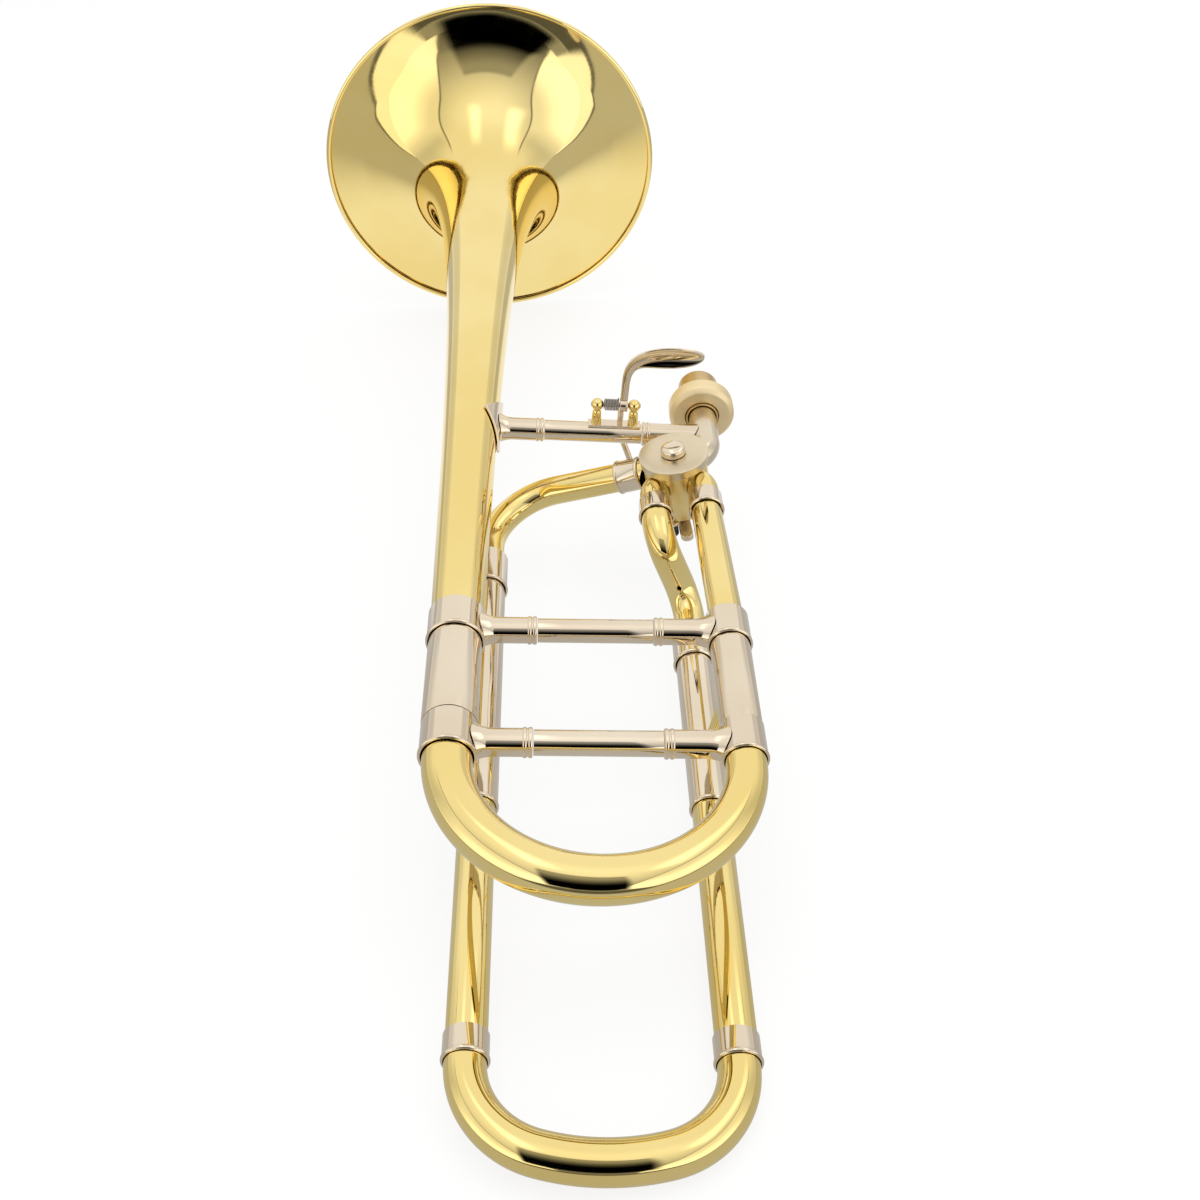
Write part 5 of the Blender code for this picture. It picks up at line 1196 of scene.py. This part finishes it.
# Painted reflection on the paper: a dim glow, a painted bright pool round the bell's foot, brighter past the
# table, a painted dark line at its edge, a dimmer front and a painted dark gap.
painted_reflection = shifted(PAINTED_TABLE_GLOW, step_up(from_bell, 0.10, 0.02), PAINTED_BELL_FOOT_GLOW - PAINTED_TABLE_GLOW)
painted_reflection = blended(painted_reflection, PAINTED_PAST_TABLE_GLOW, step_up(past_table, 0.60, 0.72))
painted_reflection = blended(painted_reflection, PAINTED_TABLE_EDGE_SHADE, between(past_table, 0.58, 0.68, 0.03))
painted_reflection = blended(painted_reflection, PAINTED_FRONT_GLOW, times(in_front, step_up(floor_y, -1.00, -1.10)))
painted_reflection = blended(painted_reflection, PAINTED_GAP_SHADE, times(in_front, between(floor_y, -1.05, -0.46, 0.05)))
rays = add_node(paper_tree, "LightPath", {})
look = paper_shader.outputs["BSDF"]
# Glossy rays mostly see the painted reflection glow, the camera mostly an even white.
for ray, light, share in (
    ("Is Glossy Ray", painted_reflection, PAINTED_REFLECTION_SHARE),
    ("Is Camera Ray", SEEN_LIGHT, SEEN_SHARE),
):
    glow = add_node(paper_tree, "Emission", {"Strength": light}).outputs["Emission"]
    mixed = add_node(paper_tree, "MixShader", {"Fac": times(rays.outputs[ray], share), 1: look, 2: glow})
    look = mixed.outputs["Shader"]
fill(paper_tree.nodes["Material Output"], {"Surface": look})
floor_work = bmesh.new()
bmesh.ops.create_circle(floor_work, cap_ends=True, radius=FLOOR_RADIUS, segments=ROUND)
floor = new_object("floor", floor_work, paper)

# The white light tent: brighter and dimmer panels with dark seams, and two lamps near the
# zenith, all of them only in what the metal mirrors. The camera sees an even white behind.
TENT_LIGHT = 0.98
TENT_PANELS = (
    # bearing and height, each as from, to and softness, and the change of light there
    ((1.75, 2.95, 0.22), (-0.60, 0.32, 0.20), 0.55),
    ((-9.0, 1.10, 0.40), (-0.05, 0.32, 0.16), -0.25),
    ((1.10, 1.45, 0.20), (-0.20, 0.60, 0.15), -0.25),
)
SEAM_HEIGHT = 0.62
SEAM_MIDDLE = 1.65
SEAM_HALF = 1.27
SEAM_BULGE = 0.62
SEAM_LIGHT = 0.12
ROOF_LIGHT = 0.20
ROOF_RISE = 0.95
LAMPS = ((-0.30, -0.12, -0.30, 0.35), (0.42, 0.64, -0.30, 0.40))
LAMP_LIGHT = 0.60
LEAST_LIGHT = 0.03
world = bpy.data.worlds.new("studio")
bpy.context.scene.world = world
world.use_nodes = True
sky = world.node_tree
backdrop = fill(sky.nodes["Background"], {"Color": WHITE, "Strength": 1.0})
sight_x, sight_y, height = axes_of(sky, "Generated", "XYZ")
either_side = worked_out("ABSOLUTE", worked_out("ARCTAN2", sight_x, sight_y), 0.0)
tent_light = TENT_LIGHT
for reach, rise, change in TENT_PANELS:
    tent_light = shifted(tent_light, times(between(either_side, *reach), between(height, *rise)), change)
bulge = worked_out("POWER", times(minus(either_side, SEAM_MIDDLE), 1 / SEAM_HALF), 4.0)
over_seam = plus(times(bulge, SEAM_BULGE), minus(height, SEAM_HEIGHT))
roof_light = blended(plus(times(height, ROOF_RISE), ROOF_LIGHT), 1.0, step_up(sight_y, -0.2, 0.4))
tent_light = blended(tent_light, roof_light, step_up(over_seam, -0.02, 0.02))
seam = times(between(over_seam, -0.010, 0.010, 0.015), step_up(either_side, 0.9, 1.1))
tent_light = blended(tent_light, SEAM_LIGHT, seam)
for left, right, front, back in LAMPS:
    lamp = times(between(sight_x, left, right, 0.09), between(sight_y, front, back, 0.12))
    tent_light = shifted(tent_light, times(lamp, step_up(height, 0.5, 0.7)), LAMP_LIGHT)
tent = add_node(sky, "Background", {"Color": WHITE, "Strength": worked_out("MAXIMUM", tent_light, LEAST_LIGHT)})
pick = add_node(sky, "MixShader", {
    "Fac": add_node(sky, "LightPath", {}).outputs["Is Camera Ray"],
    1: tent.outputs["Background"],
    2: backdrop.outputs["Background"],
})
fill(sky.nodes["World Output"], {"Surface": pick.outputs["Shader"]})

# The dark opening of the tent in front of the horn, which only mirrored rays see, with
# soft edges and some light from the room high up in it.
OPENING_Y = -0.75
OPENING_LOW = 0.02
OPENING_HIGH = 0.90
OPENING_LOW_HALF = 0.24
OPENING_HIGH_HALF = 0.36
OPENING_EDGE = 0.06
ROOM_LIGHT = 0.36
dark_room = bpy.data.materials.new("dark_room")
dark_room.use_nodes = True
room = dark_room.node_tree
room_x, room_z = axes_of(room, "Object", "XZ")
lean = (OPENING_HIGH_HALF - OPENING_LOW_HALF) / (OPENING_HIGH - OPENING_LOW)
edge_at = OPENING_LOW * lean - OPENING_LOW_HALF
from_side = minus(times(room_z, lean), worked_out("ABSOLUTE", room_x, 0.0))
dark_share = times(step_up(from_side, edge_at, edge_at + OPENING_EDGE),
                   step_up(room_z, OPENING_HIGH, OPENING_HIGH - 2 * OPENING_EDGE))
dark_share = times(dark_share, step_up(room_z, OPENING_LOW, OPENING_LOW + OPENING_EDGE))
room_glow = add_node(room, "Emission", {"Strength": times(step_up(room_z, 0.24, 0.70), ROOM_LIGHT)})
room_mix = add_node(room, "MixShader", {
    "Fac": dark_share,
    1: add_node(room, "BsdfTransparent", {}).outputs["BSDF"],
    2: room_glow.outputs["Emission"],
})
fill(room.nodes["Material Output"], {"Surface": room_mix.outputs["Shader"]})
opening_work = bmesh.new()
bmesh.ops.contextual_create(opening_work, geom=[
    opening_work.verts.new((x, OPENING_Y, z))
    for x, z in (
        (-OPENING_LOW_HALF, OPENING_LOW), (OPENING_LOW_HALF, OPENING_LOW),
        (OPENING_HIGH_HALF, OPENING_HIGH), (-OPENING_HIGH_HALF, OPENING_HIGH),
    )
])
opening = new_object("tent_opening", opening_work, dark_room)
opening.visible_camera = False
opening.visible_diffuse = False
opening.visible_shadow = False
opening.visible_transmission = False

# A faint softbox above the horn gives its foot a soft shadow, and the camera stands where
# the photo's stood, placed from the horn's own axes.
SOFTBOX_SIZE = 1.2
SOFTBOX_SPOT = (0.2, -0.1, 1.6)
SOFTBOX_WATTS = 8.0
CAMERA_SPOT = Vector((0.03234, -0.95974, 0.44694))
CAMERA_TURN = Euler((radians(55.104), radians(-0.7606), radians(0.1114)))
softbox = bpy.data.lights.new("softbox", "AREA")
softbox.shape = "RECTANGLE"
softbox.size = SOFTBOX_SIZE
softbox.size_y = SOFTBOX_SIZE
softbox.energy = SOFTBOX_WATTS
softbox_object = bpy.data.objects.new("softbox", softbox)
softbox_object.location = SOFTBOX_SPOT
softbox_object.visible_camera = False
softbox_object.visible_glossy = False
bpy.context.scene.collection.objects.link(softbox_object)
camera_data = bpy.data.cameras.new("camera")
camera_data.sensor_width = 36.0
camera_data.lens = 47.04
camera_data.shift_x = 0.0464
camera_data.shift_y = -0.1361
camera_data.clip_start = 0.01
camera = bpy.data.objects.new("camera", camera_data)
camera.matrix_world = LYING @ (Matrix.Translation(CAMERA_SPOT) @ CAMERA_TURN.to_matrix().to_4x4())
bpy.context.scene.collection.objects.link(camera)
bpy.context.scene.camera = camera
bpy.context.scene.view_settings.view_transform = "Standard"
